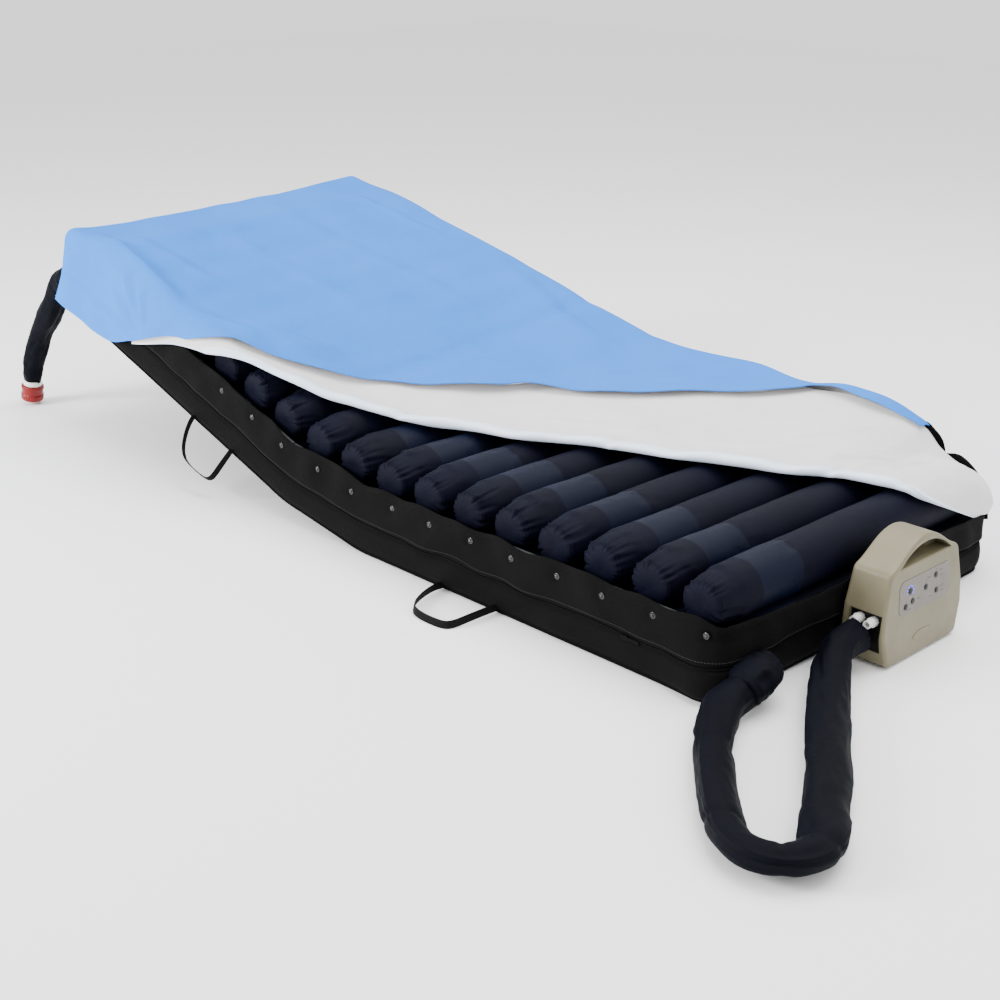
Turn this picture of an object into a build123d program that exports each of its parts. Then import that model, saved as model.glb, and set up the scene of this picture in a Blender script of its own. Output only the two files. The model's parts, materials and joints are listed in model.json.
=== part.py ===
from build123d import *
import os
from math import cos, pi, radians, sin, tan

# Alternating-air pressure relief mattress with its floor-standing pump.
# The foot section lies flat on the floor, and the head section is raised through two bends.
# +X runs to the foot end, -Y is the near long side, and z = 0 is the plane that the foot section
# lies on. Every mattress piece is drawn in the flat lie and then turned up with its section.

# ------------------------------------------------------------------ driving sizes, mm and degrees
# Air cells
foot_cells = 8
flex_cells = 2
head_cells = 8
cell_pitch = 110.0
cell_gap = 4.0
cell_length = 850.0
cell_height = 212.0
cell_film = 0.8
cell_end_round = 30.0
lower_chamber_width = 98.0
lower_chamber_round = 20.0
lower_chamber_lap = 11.0

# Bends between the sections
rest_bend = 9.3
full_bend = 24.0
bend_slit = 0.3

# Base cover, a tray with a zip half way up its walls
base_panel = 4.0
base_wall = 4.0
base_wall_height = 160.0
base_side_gap = 11.0
base_end_gap = 4.0
base_corner = 24.0

# Top cover, folded back over the cells from the foot end
cover_thickness = 6.0
cover_skirt = 5.0
cover_hem_height = 70.0
cover_clearance = 0.3
cover_gap = 0.5
cover_side_drop = 26.0
cover_crest_inset = 60.0
# Folded edge of the cover: place along the mattress, place across it, rise of the folded bulk
cover_fold = [
    (150.0, 62.0, 56.0),
    (-440.0, -200.0, 60.0),
    (-660.0, -345.0, 56.0),
]
cover_foot_fold = (165.0, 6.0)
cover_head_rise = 5.0
near_skirt_end = -1000.0
near_skirt_full = -1250.0

# Press studs on the near wall
stud_radius = 6.0
stud_height = 3.0
stud_round = 1.8
stud_level = 122.0
stud_shift = 30.0

# Air line along the near ends of the cells
line_radius = 4.5
line_bore = 3.0
line_level = 138.0
collar_length = 12.0
line_clearance = 0.3

# Zip slider
slider_length = 16.0
slider_width = 9.0
slider_depth = 4.0
slider_x = 250.0
slider_level = 62.0
slider_clearance = 0.3
tab_length = 26.0
tab_width = 6.0
tab_depth = 1.5

# Carry handles
handle_span = 150.0
handle_foot_reach = 126.0
handle_head_reach = 92.0
handle_band = 16.0
handle_thickness = 2.2
handle_corner = 34.0
handle_lift = 1.0
handle_foot_x = -134.0
handle_head_x = -902.0
handle_droop = 58.0
handle_clearance = 0.3

# Share of a run that the bend at each of its ends may take
corner_share = 0.45

# Hose sleeve from the mattress to the pump
hose_diameter = 62.0
hose_clearance = 4.0
hose_lead = 38.0
hose_end_level = 60.0
hose_end_run = 40.0
hose_exit_y = -372.0
hose_exit_z = 38.0
cuff_length = 26.0
cuff_root = 44.0
cuff_height = 68.0
cuff_round = 10.0

# Release sleeve and valve at the head end
release_diameter = 50.0
release_exit_y = -405.0
release_exit_z = 30.0
boot_length = 24.0
boot_turn = 40.0
boot_margin = 2.0
release_lead = 34.0
valve_flange_radius = 24.0
valve_flange_height = 9.0
valve_neck_radius = 15.0
valve_neck_length = 15.0
cap_radius = 29.0
cap_height = 40.0
cap_round = 4.0
cap_clearance = 0.3
cap_grip_depth = 1.3
cap_grip_radius = 2.0
cap_grip_count = 18

# Pump
pump_gap = 27.0
pump_y = 5.0
pump_depth = 92.0
pump_bottom_half_width = 114.0
pump_waist_half_width = 129.0
pump_waist_height = 62.0
pump_side_half_width = 127.0
pump_side_height = 106.0
pump_shoulder_half_width = 110.0
pump_shoulder_height = 176.0
pump_rise_half_width = 80.0
pump_rise_height = 189.0
pump_arch_half_width = 44.0
pump_arch_height = 211.0
pump_crest_height = 222.0
pump_foot_height = 3.0
pump_foot_radius = 8.0
pump_foot_inset = 22.0
pump_corner = 16.0
pump_edge = 7.0
pump_lean = 5.0
pump_split = 44.0
pump_wall = 3.0
pump_front_wall = 6.0
slot_half_width = 46.0
slot_floor = 178.0
slot_crest = 203.0
scoop_half_width = 82.0
scoop_crest = 210.0
scoop_start = 46.0
ledge_round = 3.0
cavity_half_width = 108.0
cavity_top = 160.0
cavity_corner = 10.0
boss_radius = 6.0
boss_y = 94.0
boss_low = 24.0
boss_high = 142.0
screw_radius = 1.5
screw_clearance = 0.1
screw_head_radius = 3.6
screw_head_height = 2.4
screw_length = 60.0

# Control panel on the leaning front
panel_width = 166.0
panel_height = 64.0
panel_corner = 16.0
panel_thickness = 1.6
panel_recess = 1.0
panel_clearance = 0.2
panel_level = 122.0
button_radius = 4.6
button_length = 2.6
button_proud = 1.2
button_clearance = 0.25
button_round = 0.4
button_travel = 0.8
buttons = {
    "button_pressure_up": (-49.0, 9.0),
    "button_pressure_down": (-40.0, -12.0),
    "button_lock": (-62.0, -17.0),
    "button_mode": (2.0, 2.0),
    "button_static": (34.0, 16.0),
    "button_alarm_mute": (38.0, -14.0),
}
badge_width = 64.0
badge_height = 19.0
badge_proud = 0.8
badge_level = 38.0

# Hose connectors on the near side of the pump
plate_width = 64.0
plate_height = 72.0
plate_thickness = 2.0
plate_level = 68.0
plate_half_width = 119.0
connector_radius = 9.5
connector_tip_radius = 7.6
connector_length = 24.0
connector_bore = 5.0
connector_spacing = 27.0
connector_level = 88.0

# Power inlet and switch on the far side of the pump
inlet_width = 30.0
inlet_height = 22.0
inlet_depth = 16.0
inlet_rim = 3.0
socket_depth = 13.0
inlet_pin_size = 2.0
inlet_pin_length = 5.0
inlet_pin_spacing = 6.0
inlet_level = 48.0
switch_width = 11.0
switch_height = 19.0
switch_depth = 7.0
switch_clearance = 0.7
switch_level = 84.0
side_pocket_half_width = 121.0

# Inside the pump
compressor_width = 96.0
compressor_depth = 60.0
compressor_base = 18.0
compressor_radius = 27.0
compressor_axis_height = 36.0
board_width = 150.0
board_height = 62.0
board_thickness = 1.6
board_level = 118.0

# Swivel hooks on the back of the pump
hook_arm = 58.0
hook_width = 18.0
hook_thickness = 5.0
hook_lip = 14.0
hook_lip_thickness = 5.0
hook_y = 84.0
hook_level = 146.0
hook_pin_radius = 4.0
hook_pin_length = 2.4
hook_pin_clearance = 0.08
hook_clearance = 0.3

# ------------------------------------------------------------------ places worked out from them
upper_radius = (cell_pitch - cell_gap) / 2
cell_top = base_panel + cell_height
pivot_z = cell_top - upper_radius
foot_end = foot_cells * cell_pitch / 2
first_hinge = -foot_end
second_hinge = first_hinge - flex_cells * cell_pitch
head_end = second_hinge - head_cells * cell_pitch

base_half_width = cell_length / 2 + base_side_gap + base_wall
base_foot = foot_end - cell_gap / 2 + base_end_gap + base_wall
base_head = head_end + cell_gap / 2 - base_end_gap - base_wall

cover_under = cell_top + cover_clearance
cover_top = cover_under + cover_thickness
skirt_inner = base_half_width + cover_gap
skirt_outer = skirt_inner + cover_skirt
cover_head = base_head - cover_gap - cover_skirt

first_axis = Axis((first_hinge, 0, pivot_z), (0, 1, 0))
second_axis = Axis((second_hinge, 0, pivot_z), (0, 1, 0))
SECTIONS = ("foot", "flex", "head")

os.makedirs("parts", exist_ok=True)


def raised(shape, section):
    """Carry a shape from the flat lie to the raised lie of its section."""
    if section == "head":
        shape = shape.rotate(second_axis, rest_bend)
    if section in ("flex", "head"):
        shape = shape.rotate(first_axis, rest_bend)
    return shape


def save(part, name):
    """Name a finished piece and write it as its own STEP file."""
    part.label = name
    export_step(part, f"parts/{name}.step")


def section_block(section):
    """Room that one section may fill, so that no bend from flat to fully raised brings two
    sections together: upright faces below the pivot, and faces that lean apart above it."""
    reach = 3 * cell_height
    lean = reach * tan(radians(full_bend) / 2)
    slit = bend_slit / 2
    far_end = head_end - 2 * cell_pitch
    near_end = foot_end + 2 * cell_pitch
    low_x, high_x = {
        "foot": (first_hinge + slit, near_end),
        "flex": (second_hinge + slit, first_hinge - slit),
        "head": (far_end, second_hinge - slit),
    }[section]
    lean_low = 0 if section == "head" else lean
    lean_high = 0 if section == "foot" else lean
    with BuildPart() as block:
        with BuildSketch(Plane.XZ.offset(-cell_length)):
            with BuildLine():
                if section == "flex":
                    Polyline(
                        (low_x, -cell_height),
                        (low_x, pivot_z),
                        ((low_x + high_x) / 2, pivot_z + (high_x - low_x) / 2 / (lean / reach)),
                        (high_x, pivot_z),
                        (high_x, -cell_height),
                        close=True,
                    )
                else:
                    Polyline(
                        (low_x, -cell_height),
                        (low_x, pivot_z),
                        (low_x + lean_low, pivot_z + reach),
                        (high_x - lean_high, pivot_z + reach),
                        (high_x, pivot_z),
                        (high_x, -cell_height),
                        close=True,
                    )
            make_face()
        extrude(amount=2 * cell_length)
    return block.part


blocks = {section: section_block(section) for section in SECTIONS}


def save_by_section(full, name):
    """Cut a piece that runs the whole length into its three sections, each raised to its lie."""
    for section in SECTIONS:
        with BuildPart() as piece:
            add(full)
            add(blocks[section], mode=Mode.INTERSECT)
        save(raised(piece.part, section), f"{name}_{section}")


# ------------------------------------------------------------------ air cells
def chamber_pair(inset):
    """The two chambers of a cell at x = 0: a round one above and a flat-bottomed one below.
    With no inset they join into the outer skin, and inset by the film they are the air inside."""
    length = cell_length - 2 * inset
    half_width = lower_chamber_width / 2 - inset
    low = base_panel + inset
    high = pivot_z - upper_radius + (lower_chamber_lap if inset == 0 else 0)
    with BuildPart() as pair:
        with BuildSketch(Plane.XZ.offset(-length / 2)):
            with BuildLine():
                Polyline(
                    (-half_width, low), (half_width, low), (half_width, high), (-half_width, high),
                    close=True,
                )
            make_face()
            fillet(vertices(), lower_chamber_round - inset)
        extrude(amount=length)
        with BuildSketch(Plane.XZ.offset(-length / 2)):
            with Locations((0, pivot_z)):
                Circle(upper_radius - inset)
        upper = extrude(amount=length, mode=Mode.PRIVATE)
        rims = upper.edges().filter_by(GeomType.CIRCLE)
        upper = upper.fillet(cell_end_round - inset, rims)
        add(upper)
    return pair.part


with BuildPart() as cell:
    add(chamber_pair(0))
    add(chamber_pair(cell_film), mode=Mode.SUBTRACT)

cell_places = []
for section, count, high_x in (
    ("foot", foot_cells, foot_end),
    ("flex", flex_cells, first_hinge),
    ("head", head_cells, second_hinge),
):
    for index in range(count):
        cell_places.append((section, high_x - (index + 0.5) * cell_pitch))

for number, (section, x) in enumerate(cell_places, start=1):
    save(raised(cell.part.moved(Location((x, 0, 0))), section), f"air_cell_{number:02d}")

# ------------------------------------------------------------------ base cover
base_length = base_foot - base_head
base_centre = (base_foot + base_head) / 2
with BuildPart() as base_cover:
    with BuildSketch(Plane.XY):
        with Locations((base_centre, 0)):
            RectangleRounded(base_length, 2 * base_half_width, base_corner)
    extrude(amount=base_wall_height)
    with BuildSketch(Plane.XY.offset(base_panel)):
        with Locations((base_centre, 0)):
            RectangleRounded(
                base_length - 2 * base_wall, 2 * (base_half_width - base_wall), base_corner - base_wall
            )
    extrude(amount=base_wall_height, mode=Mode.SUBTRACT)
save_by_section(base_cover.part, "base_cover")

# ------------------------------------------------------------------ top cover
cap_start = cell_places[-1][1]
fold_stations = (
    [(base_foot, *cover_foot_fold)]
    + cover_fold
    + [(near_skirt_end, -skirt_outer, (cover_fold[-1][2] + cover_head_rise) / 2)]
    + [(cap_start, -skirt_outer, cover_head_rise)]
)


def cover_profile(fold_y, rise):
    """Cross-section of the folded cover, from its fold over the crest to the far hem."""
    crest_y = skirt_outer - cover_crest_inset
    shoulder = cover_top + max(rise - cover_side_drop, 0)
    Polyline(
        (fold_y, cover_under),
        (fold_y, cover_top),
        (crest_y, cover_top + rise),
        (skirt_outer, shoulder),
        (skirt_outer, cover_hem_height),
        (skirt_inner, cover_hem_height),
        (skirt_inner, shoulder - cover_thickness),
        (crest_y, cover_under + rise),
        close=True,
    )


with BuildPart() as top_cover:
    for (x_a, fold_a, rise_a), (x_b, fold_b, rise_b) in zip(fold_stations, fold_stations[1:]):
        with BuildSketch(Plane.YZ.offset(x_a)):
            with BuildLine():
                cover_profile(fold_a, rise_a)
            make_face()
        with BuildSketch(Plane.YZ.offset(x_b)):
            with BuildLine():
                cover_profile(fold_b, rise_b)
            make_face()
        loft(ruled=True)
    # near skirt, whose hem climbs to the fold
    with BuildSketch(Plane.XZ.offset(skirt_inner)):
        with BuildLine():
            Polyline(
                (cap_start, cover_top),
                (cap_start, cover_hem_height),
                (near_skirt_full, cover_hem_height),
                (near_skirt_end, cover_under),
                (near_skirt_end, cover_top),
                close=True,
            )
        make_face()
    extrude(amount=cover_skirt)
    # rounded cap over the head end, open below
    for far, end, top, mode in (
        (skirt_outer, cover_head, cover_top, Mode.ADD),
        (skirt_inner, cover_head + cover_skirt, cover_under, Mode.SUBTRACT),
    ):
        with BuildSketch(Plane.XZ.offset(-far)):
            with BuildLine():
                low = cover_hem_height
                Polyline((end, pivot_z), (end, low), (cap_start, low), (cap_start, top))
                turn = cos(radians(45))
                halfway = (cap_start - (cap_start - end) * turn, pivot_z + (top - pivot_z) * turn)
                ThreePointArc((cap_start, top), halfway, (end, pivot_z))
            make_face()
        extrude(amount=2 * far, mode=mode)
save_by_section(top_cover.part, "top_cover")

# ------------------------------------------------------------------ press studs, one at each cell
with BuildPart() as studs:
    stud_cells = [x for section, x in cell_places if x > near_skirt_end + cell_pitch / 2]
    stud_places = [(x + stud_shift, stud_level) for x in stud_cells]
    with BuildSketch(Plane.XZ.offset(base_half_width)):
        with Locations(*stud_places):
            Circle(stud_radius)
    extrude(amount=stud_height)
    fillet(studs.edges().group_by(Axis.Y)[0], stud_round)
save_by_section(studs.part, "press_studs")

# ------------------------------------------------------------------ air line along the cell ends
collar_radius = base_side_gap / 2 - line_clearance
line_y = -(cell_length + base_side_gap) / 2
line_start = cell_places[-1][1] - cell_pitch / 4
line_end = cell_places[0][1] + cell_pitch / 4
with BuildPart() as air_line:
    with BuildSketch(Plane.YZ.offset(line_start)):
        with Locations((line_y, line_level)):
            Circle(line_radius)
    extrude(amount=line_end - line_start)
    for section, x in cell_places:
        with BuildSketch(Plane.YZ.offset(x - collar_length / 2)):
            with Locations((line_y, line_level)):
                Circle(collar_radius)
        extrude(amount=collar_length)
    with BuildSketch(Plane.YZ.offset(line_start)):
        with Locations((line_y, line_level)):
            Circle(line_bore)
    extrude(amount=line_end - line_start, mode=Mode.SUBTRACT)
save_by_section(air_line.part, "air_line")

# ------------------------------------------------------------------ zip slider on the near wall
slider_face = base_half_width + slider_clearance
with BuildPart() as zip_slider:
    with BuildSketch(Plane.XZ.offset(slider_face)):
        with Locations((slider_x, slider_level)):
            RectangleRounded(slider_length, slider_width, slider_width / 3)
    extrude(amount=slider_depth)
    with BuildSketch(Plane.XZ.offset(slider_face + slider_depth - tab_depth)):
        with Locations((slider_x + slider_length / 2 - tab_depth, slider_level)):
            Rectangle(tab_length, tab_width, align=(Align.MIN, Align.CENTER))
    extrude(amount=tab_depth)
save(zip_slider.part, "zip_slider")


# ------------------------------------------------------------------ carry handles
def carry_handle(x, side, reach, droop):
    """Webbing loop that lies out by reach from the foot of a side wall, on edge, turned down by droop.
    Its two ends are round about the line that it swings on, so they clear the wall."""
    start = base_half_width + handle_clearance
    band_middle = handle_lift + handle_band / 2
    with BuildPart() as handle:
        with BuildSketch(Plane.XY.offset(handle_lift)):
            with Locations((x, side * start)):
                RectangleRounded(handle_span, 2 * reach, handle_corner)
                inner_span = handle_span - 2 * handle_thickness
                inner_reach = reach - handle_thickness
                inner_corner = handle_corner - handle_thickness
                RectangleRounded(inner_span, 2 * inner_reach, inner_corner, mode=Mode.SUBTRACT)
            with Locations((x, side * (start - reach))):
                Rectangle(2 * handle_span, 2 * reach, mode=Mode.SUBTRACT)
        extrude(amount=handle_band)
        ends = handle.faces().filter_by_position(Axis.Y, side * start - 0.01, side * start + 0.01)
        fillet(ends.edges().filter_by(Axis.X), handle_band / 2 - 0.05)
    hinge = Axis((x, side * (start + handle_band / 2), band_middle), (-side, 0, 0))
    return handle.part.rotate(hinge, droop)


handle_places = (
    ("foot", handle_foot_x, handle_foot_reach, 0),
    ("head", handle_head_x, handle_head_reach, handle_droop),
)
for section, x, reach, droop in handle_places:
    for side, side_name in ((-1, "near"), (1, "far")):
        loop = carry_handle(x, side, reach, droop)
        save(raised(loop, section), f"handle_{side_name}_{section}")


# ------------------------------------------------------------------ hose and release sleeves
def corner_radii(points):
    """Largest radius that the two runs at each corner of a route leave room for."""
    radii = []
    for before, here, after in zip(points, points[1:], points[2:]):
        run_in = Vector(*here) - Vector(*before)
        run_out = Vector(*after) - Vector(*here)
        turn = radians(run_in.get_angle(run_out))
        radii.append(corner_share * min(run_in.length, run_out.length) / tan(turn / 2))
    return radii


def sleeve_tube(points, diameter, name):
    """Plain tube of a free sleeve: straight runs joined by arcs."""
    radii = corner_radii(points)
    print(name, "radii in diameters:", [round(radius / diameter, 1) for radius in radii])
    with BuildPart() as tube:
        with BuildLine() as route:
            FilletPolyline(*points, radius=radii)
        start = Plane(origin=route.line @ 0, z_dir=route.line % 0)
        with BuildSketch(start):
            Circle(diameter / 2)
        sweep()
    area = pi * diameter**2 / 4
    length = sum(piece.length for piece in route.line.edges())
    print(name, "length", round(length, 1), "volume share", round(tube.part.volume / area / length, 4))
    save(tube.part, name)


# The hose sleeve leaves the foot end near its near corner, lies out on the floor in one loop and
# comes back to the near side of the pump.
hose_start = -hose_exit_y + cuff_length
pump_back = base_foot + pump_gap
pump_front = pump_back + pump_depth
hose_exit_x = base_foot + hose_clearance + hose_diameter / 2
connector_face = pump_y - plate_half_width - connector_length
hose_end_x = pump_back + pump_depth / 2 - connector_spacing / 4
hose_route = [
    (hose_exit_x, -hose_start, hose_exit_z),
    (hose_exit_x, -hose_start - hose_lead, hose_exit_z),
    (490, -480, 36),
    (513, -522, 34),
    (540, -566, 32),
    (573, -611, 32),
    (609, -654, 32),
    (642, -692, 32),
    (676, -728, 32),
    (715, -765, 32),
    (760, -787, 32),
    (808, -775, 32),
    (832, -731, 32),
    (822, -684, 32),
    (790, -636, 32),
    (760, -588, 32),
    (731, -539, 32),
    (700, -492, 32),
    (668, -446, 32),
    (637, -399, 32),
    (606, -351, 33),
    (575, -304, 35),
    (548, -260, 41),
    (525, -218, 51),
    (hose_end_x, connector_face - hose_end_run, hose_end_level),
    (hose_end_x, connector_face, hose_end_level),
]
sleeve_tube(hose_route, hose_diameter, "hose_sleeve")

with BuildPart() as hose_cuff:
    with BuildSketch(Plane.XY.offset(hose_exit_z - cuff_height / 2)):
        with BuildLine():
            Polyline(
                (base_foot, hose_exit_y + cuff_root),
                (base_foot, -hose_start),
                (hose_exit_x + hose_diameter / 2, -hose_start),
                (hose_exit_x + hose_diameter / 2, hose_exit_y),
                close=True,
            )
        make_face()
    extrude(amount=cuff_height)
    fillet(hose_cuff.faces().sort_by(Axis.Y)[-1].edges().filter_by(Axis.Z, reverse=True), cuff_round)
save(hose_cuff.part, "hose_cuff")

# The release sleeve hangs from the near corner of the head end, with the red valve at its end.
release_out = Vector(-cos(radians(boot_turn)), 0, -sin(radians(boot_turn)))
release_mouth = Plane(
    origin=(base_head - boot_length, release_exit_y, release_exit_z),
    x_dir=(0, 1, 0),
    z_dir=release_out,
)
boot_half = release_diameter / 2 + boot_margin
with BuildPart() as release_boot:
    with BuildSketch(release_mouth):
        Rectangle(2 * boot_half, 2 * boot_half)
    with BuildSketch(Plane.YZ.offset(base_head)):
        with Locations((release_exit_y, release_exit_z)):
            Rectangle(2 * boot_half, 2 * boot_half)
    loft()
save(raised(release_boot.part, "head"), "release_boot")

lead_end = release_mouth.origin + release_out * release_lead
first_run = raised(Edge.make_line(release_mouth.origin, lead_end), "head")
release_route = [
    tuple(first_run @ 0),
    tuple(first_run @ 1),
    (-1614, -406, 320),
    (-1634, -407, 284),
    (-1666, -409, 246),
    (-1700, -411, 206),
    (-1723, -412, 166),
    (-1743, -413, 128),
    (-1754, -414, 94),
    (-1759, -415, 60),
]
sleeve_tube(release_route, release_diameter, "release_sleeve")

valve_top = Vector(*release_route[-1])
valve_dir = (valve_top - Vector(*release_route[-2])).normalized()
valve_plane = Plane(origin=valve_top, z_dir=valve_dir)
with BuildPart() as release_valve:
    with BuildSketch(valve_plane):
        Circle(valve_flange_radius)
    extrude(amount=valve_flange_height)
    with BuildSketch(valve_plane.offset(valve_flange_height)):
        Circle(valve_neck_radius)
    extrude(amount=valve_neck_length)
save(release_valve.part, "release_valve")

cap_top = valve_flange_height + cap_clearance
with BuildPart() as release_cap:
    with BuildSketch(valve_plane.offset(cap_top)):
        Circle(cap_radius)
    extrude(amount=cap_height)
    far_face = release_cap.faces().sort_by(Axis((0, 0, 0), valve_dir))[-1]
    fillet(far_face.edges(), cap_round)
    with BuildSketch(valve_plane.offset(cap_top)):
        Circle(valve_neck_radius + cap_clearance)
    extrude(amount=valve_neck_length, mode=Mode.SUBTRACT)
    with BuildSketch(valve_plane.offset(cap_top)):
        with PolarLocations(cap_radius + cap_grip_radius - cap_grip_depth, cap_grip_count):
            Circle(cap_grip_radius)
    extrude(amount=cap_height - 2 * cap_round, mode=Mode.SUBTRACT)
save(release_cap.part, "release_cap")

# ------------------------------------------------------------------ pump casing
pump_floor = pump_foot_height
front_plane = Plane(
    origin=(pump_front, pump_y, pump_floor),
    x_dir=(0, 1, 0),
    z_dir=(cos(radians(pump_lean)), 0, sin(radians(pump_lean))),
)


def on_front(height, depth):
    """Plane parallel to the leaning front, at a height up it and a depth behind it."""
    along = (height - pump_floor) / cos(radians(pump_lean))
    origin = front_plane.from_local_coords((0, along, -depth))
    return Plane(origin=origin, x_dir=front_plane.x_dir, z_dir=front_plane.z_dir)


with BuildPart() as casing:
    with BuildSketch(Plane.YZ.offset(pump_back)):
        with BuildLine():
            right_side = Polyline(
                (pump_y, pump_floor),
                (pump_y + pump_bottom_half_width, pump_floor),
                (pump_y + pump_waist_half_width, pump_waist_height),
                (pump_y + pump_side_half_width, pump_side_height),
                (pump_y + pump_shoulder_half_width, pump_shoulder_height),
            )
            crest = Spline(
                (pump_y + pump_shoulder_half_width, pump_shoulder_height),
                (pump_y + pump_rise_half_width, pump_rise_height),
                (pump_y + pump_arch_half_width, pump_arch_height),
                (pump_y, pump_crest_height),
                (pump_y - pump_arch_half_width, pump_arch_height),
                (pump_y - pump_rise_half_width, pump_rise_height),
                (pump_y - pump_shoulder_half_width, pump_shoulder_height),
            )
            left_side = Polyline(
                (pump_y - pump_shoulder_half_width, pump_shoulder_height),
                (pump_y - pump_side_half_width, pump_side_height),
                (pump_y - pump_waist_half_width, pump_waist_height),
                (pump_y - pump_bottom_half_width, pump_floor),
                (pump_y, pump_floor),
            )
        make_face()
        bends = vertices().filter_by(lambda v: abs(v.Y - pump_y) > 1)
        fillet(bends, pump_corner)
    extrude(amount=pump_depth)
    split(bisect_by=front_plane, keep=Keep.BOTTOM)
    fillet(casing.faces().sort_by(Axis.X)[-1].outer_wire().edges(), pump_edge)
    fillet(casing.faces().sort_by(Axis.X)[0].outer_wire().edges(), pump_edge)
    # grip slot under the crest, wider in front where it forms a scoop over a rounded ledge
    grips = (
        (pump_back, slot_half_width, slot_crest),
        (pump_back + scoop_start, scoop_half_width, scoop_crest),
    )
    for start, half_width, top in grips:
        with BuildSketch(Plane.YZ.offset(start)):
            with BuildLine():
                ThreePointArc(
                    (pump_y - half_width, slot_floor), (pump_y, top), (pump_y + half_width, slot_floor)
                )
                Line((pump_y + half_width, slot_floor), (pump_y - half_width, slot_floor))
            make_face()
        extrude(amount=pump_depth, mode=Mode.SUBTRACT)
    level_edges = casing.edges().filter_by(Axis.Y).group_by(Axis.Z)[-1]
    fillet(level_edges.sort_by(Axis.X)[-1], ledge_round)
    # hollow, with four screw bosses left standing through its depth
    lean_back = (cavity_top - pump_floor) * tan(radians(pump_lean))
    cavity_front = pump_front - lean_back - pump_front_wall
    cavity_back = pump_back + pump_wall
    cavity_floor = pump_floor + pump_wall
    with BuildSketch(Plane.YZ.offset(cavity_back)):
        with Locations((pump_y, (cavity_floor + cavity_top) / 2)):
            RectangleRounded(2 * cavity_half_width, cavity_top - cavity_floor, cavity_corner)
        for level in (boss_low, boss_high):
            with Locations((pump_y - boss_y, level), (pump_y + boss_y, level)):
                Circle(boss_radius, mode=Mode.SUBTRACT)
    extrude(amount=cavity_front - cavity_back, mode=Mode.SUBTRACT)
    # screw holes with seats for the heads in the back
    boss_places = [(pump_y + s * boss_y, level) for s in (-1, 1) for level in (boss_low, boss_high)]
    with BuildSketch(Plane.YZ.offset(pump_back)):
        with Locations(*boss_places):
            Circle(screw_radius + screw_clearance)
    extrude(amount=screw_length + screw_clearance, mode=Mode.SUBTRACT)
    with BuildSketch(Plane.YZ.offset(pump_back)):
        with Locations(*boss_places):
            Circle(screw_head_radius + screw_clearance)
    extrude(amount=screw_head_height, mode=Mode.SUBTRACT)
    # recess and button pockets in the front
    panel_back = on_front(panel_level, panel_recess)
    with BuildSketch(panel_back):
        RectangleRounded(
            panel_width + 2 * panel_clearance, panel_height + 2 * panel_clearance, panel_corner
        )
    extrude(amount=2 * pump_edge, mode=Mode.SUBTRACT)
    with BuildSketch(panel_back):
        with Locations(*buttons.values()):
            Circle(button_radius + button_clearance)
    pocket = button_length - button_proud + button_travel - panel_thickness + button_clearance
    extrude(amount=-pocket, mode=Mode.SUBTRACT)
    # plain oval badge low on the front
    with BuildSketch(on_front(badge_level, 0)):
        Ellipse(badge_width / 2, badge_height / 2)
    extrude(amount=badge_proud)
    # pocket for the connector plate in the near side
    plate_x = pump_back + pump_depth / 2
    with BuildSketch(Plane.XZ.offset(plate_half_width - plate_thickness - pump_y)):
        with Locations((plate_x, plate_level)):
            Rectangle(plate_width, plate_height)
    extrude(amount=pump_depth, mode=Mode.SUBTRACT)
    # pockets for the inlet and the switch in the far side
    side_x = pump_back + pump_split / 2
    inlet_floor = pump_y + side_pocket_half_width - inlet_depth
    with BuildSketch(Plane.XZ.offset(-inlet_floor)):
        with Locations((side_x, inlet_level)):
            Rectangle(inlet_width, inlet_height)
    extrude(amount=-pump_depth, mode=Mode.SUBTRACT)
    switch_floor = pump_y + side_pocket_half_width - switch_depth - 2 * switch_clearance
    with BuildSketch(Plane.XZ.offset(-switch_floor)):
        with Locations((side_x, switch_level)):
            Rectangle(switch_width + 2 * switch_clearance, switch_height + 2 * switch_clearance)
    extrude(amount=-pump_depth, mode=Mode.SUBTRACT)
    # pivot holes of the hooks in the back
    with BuildSketch(Plane.YZ.offset(pump_back)):
        with Locations((pump_y - hook_y, hook_level), (pump_y + hook_y, hook_level)):
            Circle(hook_pin_radius + hook_pin_clearance)
    extrude(amount=hook_pin_length + hook_clearance, mode=Mode.SUBTRACT)

for keep, name in ((Keep.TOP, "pump_front_case"), (Keep.BOTTOM, "pump_rear_case")):
    with BuildPart() as half:
        add(casing.part)
        split(bisect_by=Plane.YZ.offset(pump_back + pump_split), keep=keep)
    save(half.part, name)

# ------------------------------------------------------------------ pump feet and screws
foot_places = [
    (pump_back + pump_split / 2 + dx, pump_y + dy)
    for dx in (-pump_split / 4, pump_split / 4 + pump_foot_inset)
    for dy in (pump_foot_inset - pump_bottom_half_width, pump_bottom_half_width - pump_foot_inset)
]
with BuildPart() as pump_feet:
    with BuildSketch(Plane.XY):
        with Locations(*foot_places):
            Circle(pump_foot_radius)
    extrude(amount=pump_foot_height)
save(pump_feet.part, "pump_feet")

with BuildPart() as pump_screws:
    with BuildSketch(Plane.YZ.offset(pump_back)):
        with Locations(*boss_places):
            Circle(screw_head_radius)
    extrude(amount=screw_head_height)
    with BuildSketch(Plane.YZ.offset(pump_back)):
        with Locations(*boss_places):
            Circle(screw_radius)
    extrude(amount=screw_length)
save(pump_screws.part, "pump_screws")

# ------------------------------------------------------------------ control panel and buttons
with BuildPart() as control_panel:
    with BuildSketch(panel_back):
        RectangleRounded(panel_width, panel_height, panel_corner)
        with Locations(*buttons.values()):
            Circle(button_radius + button_clearance, mode=Mode.SUBTRACT)
    extrude(amount=panel_thickness)
save(control_panel.part, "control_panel")

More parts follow.
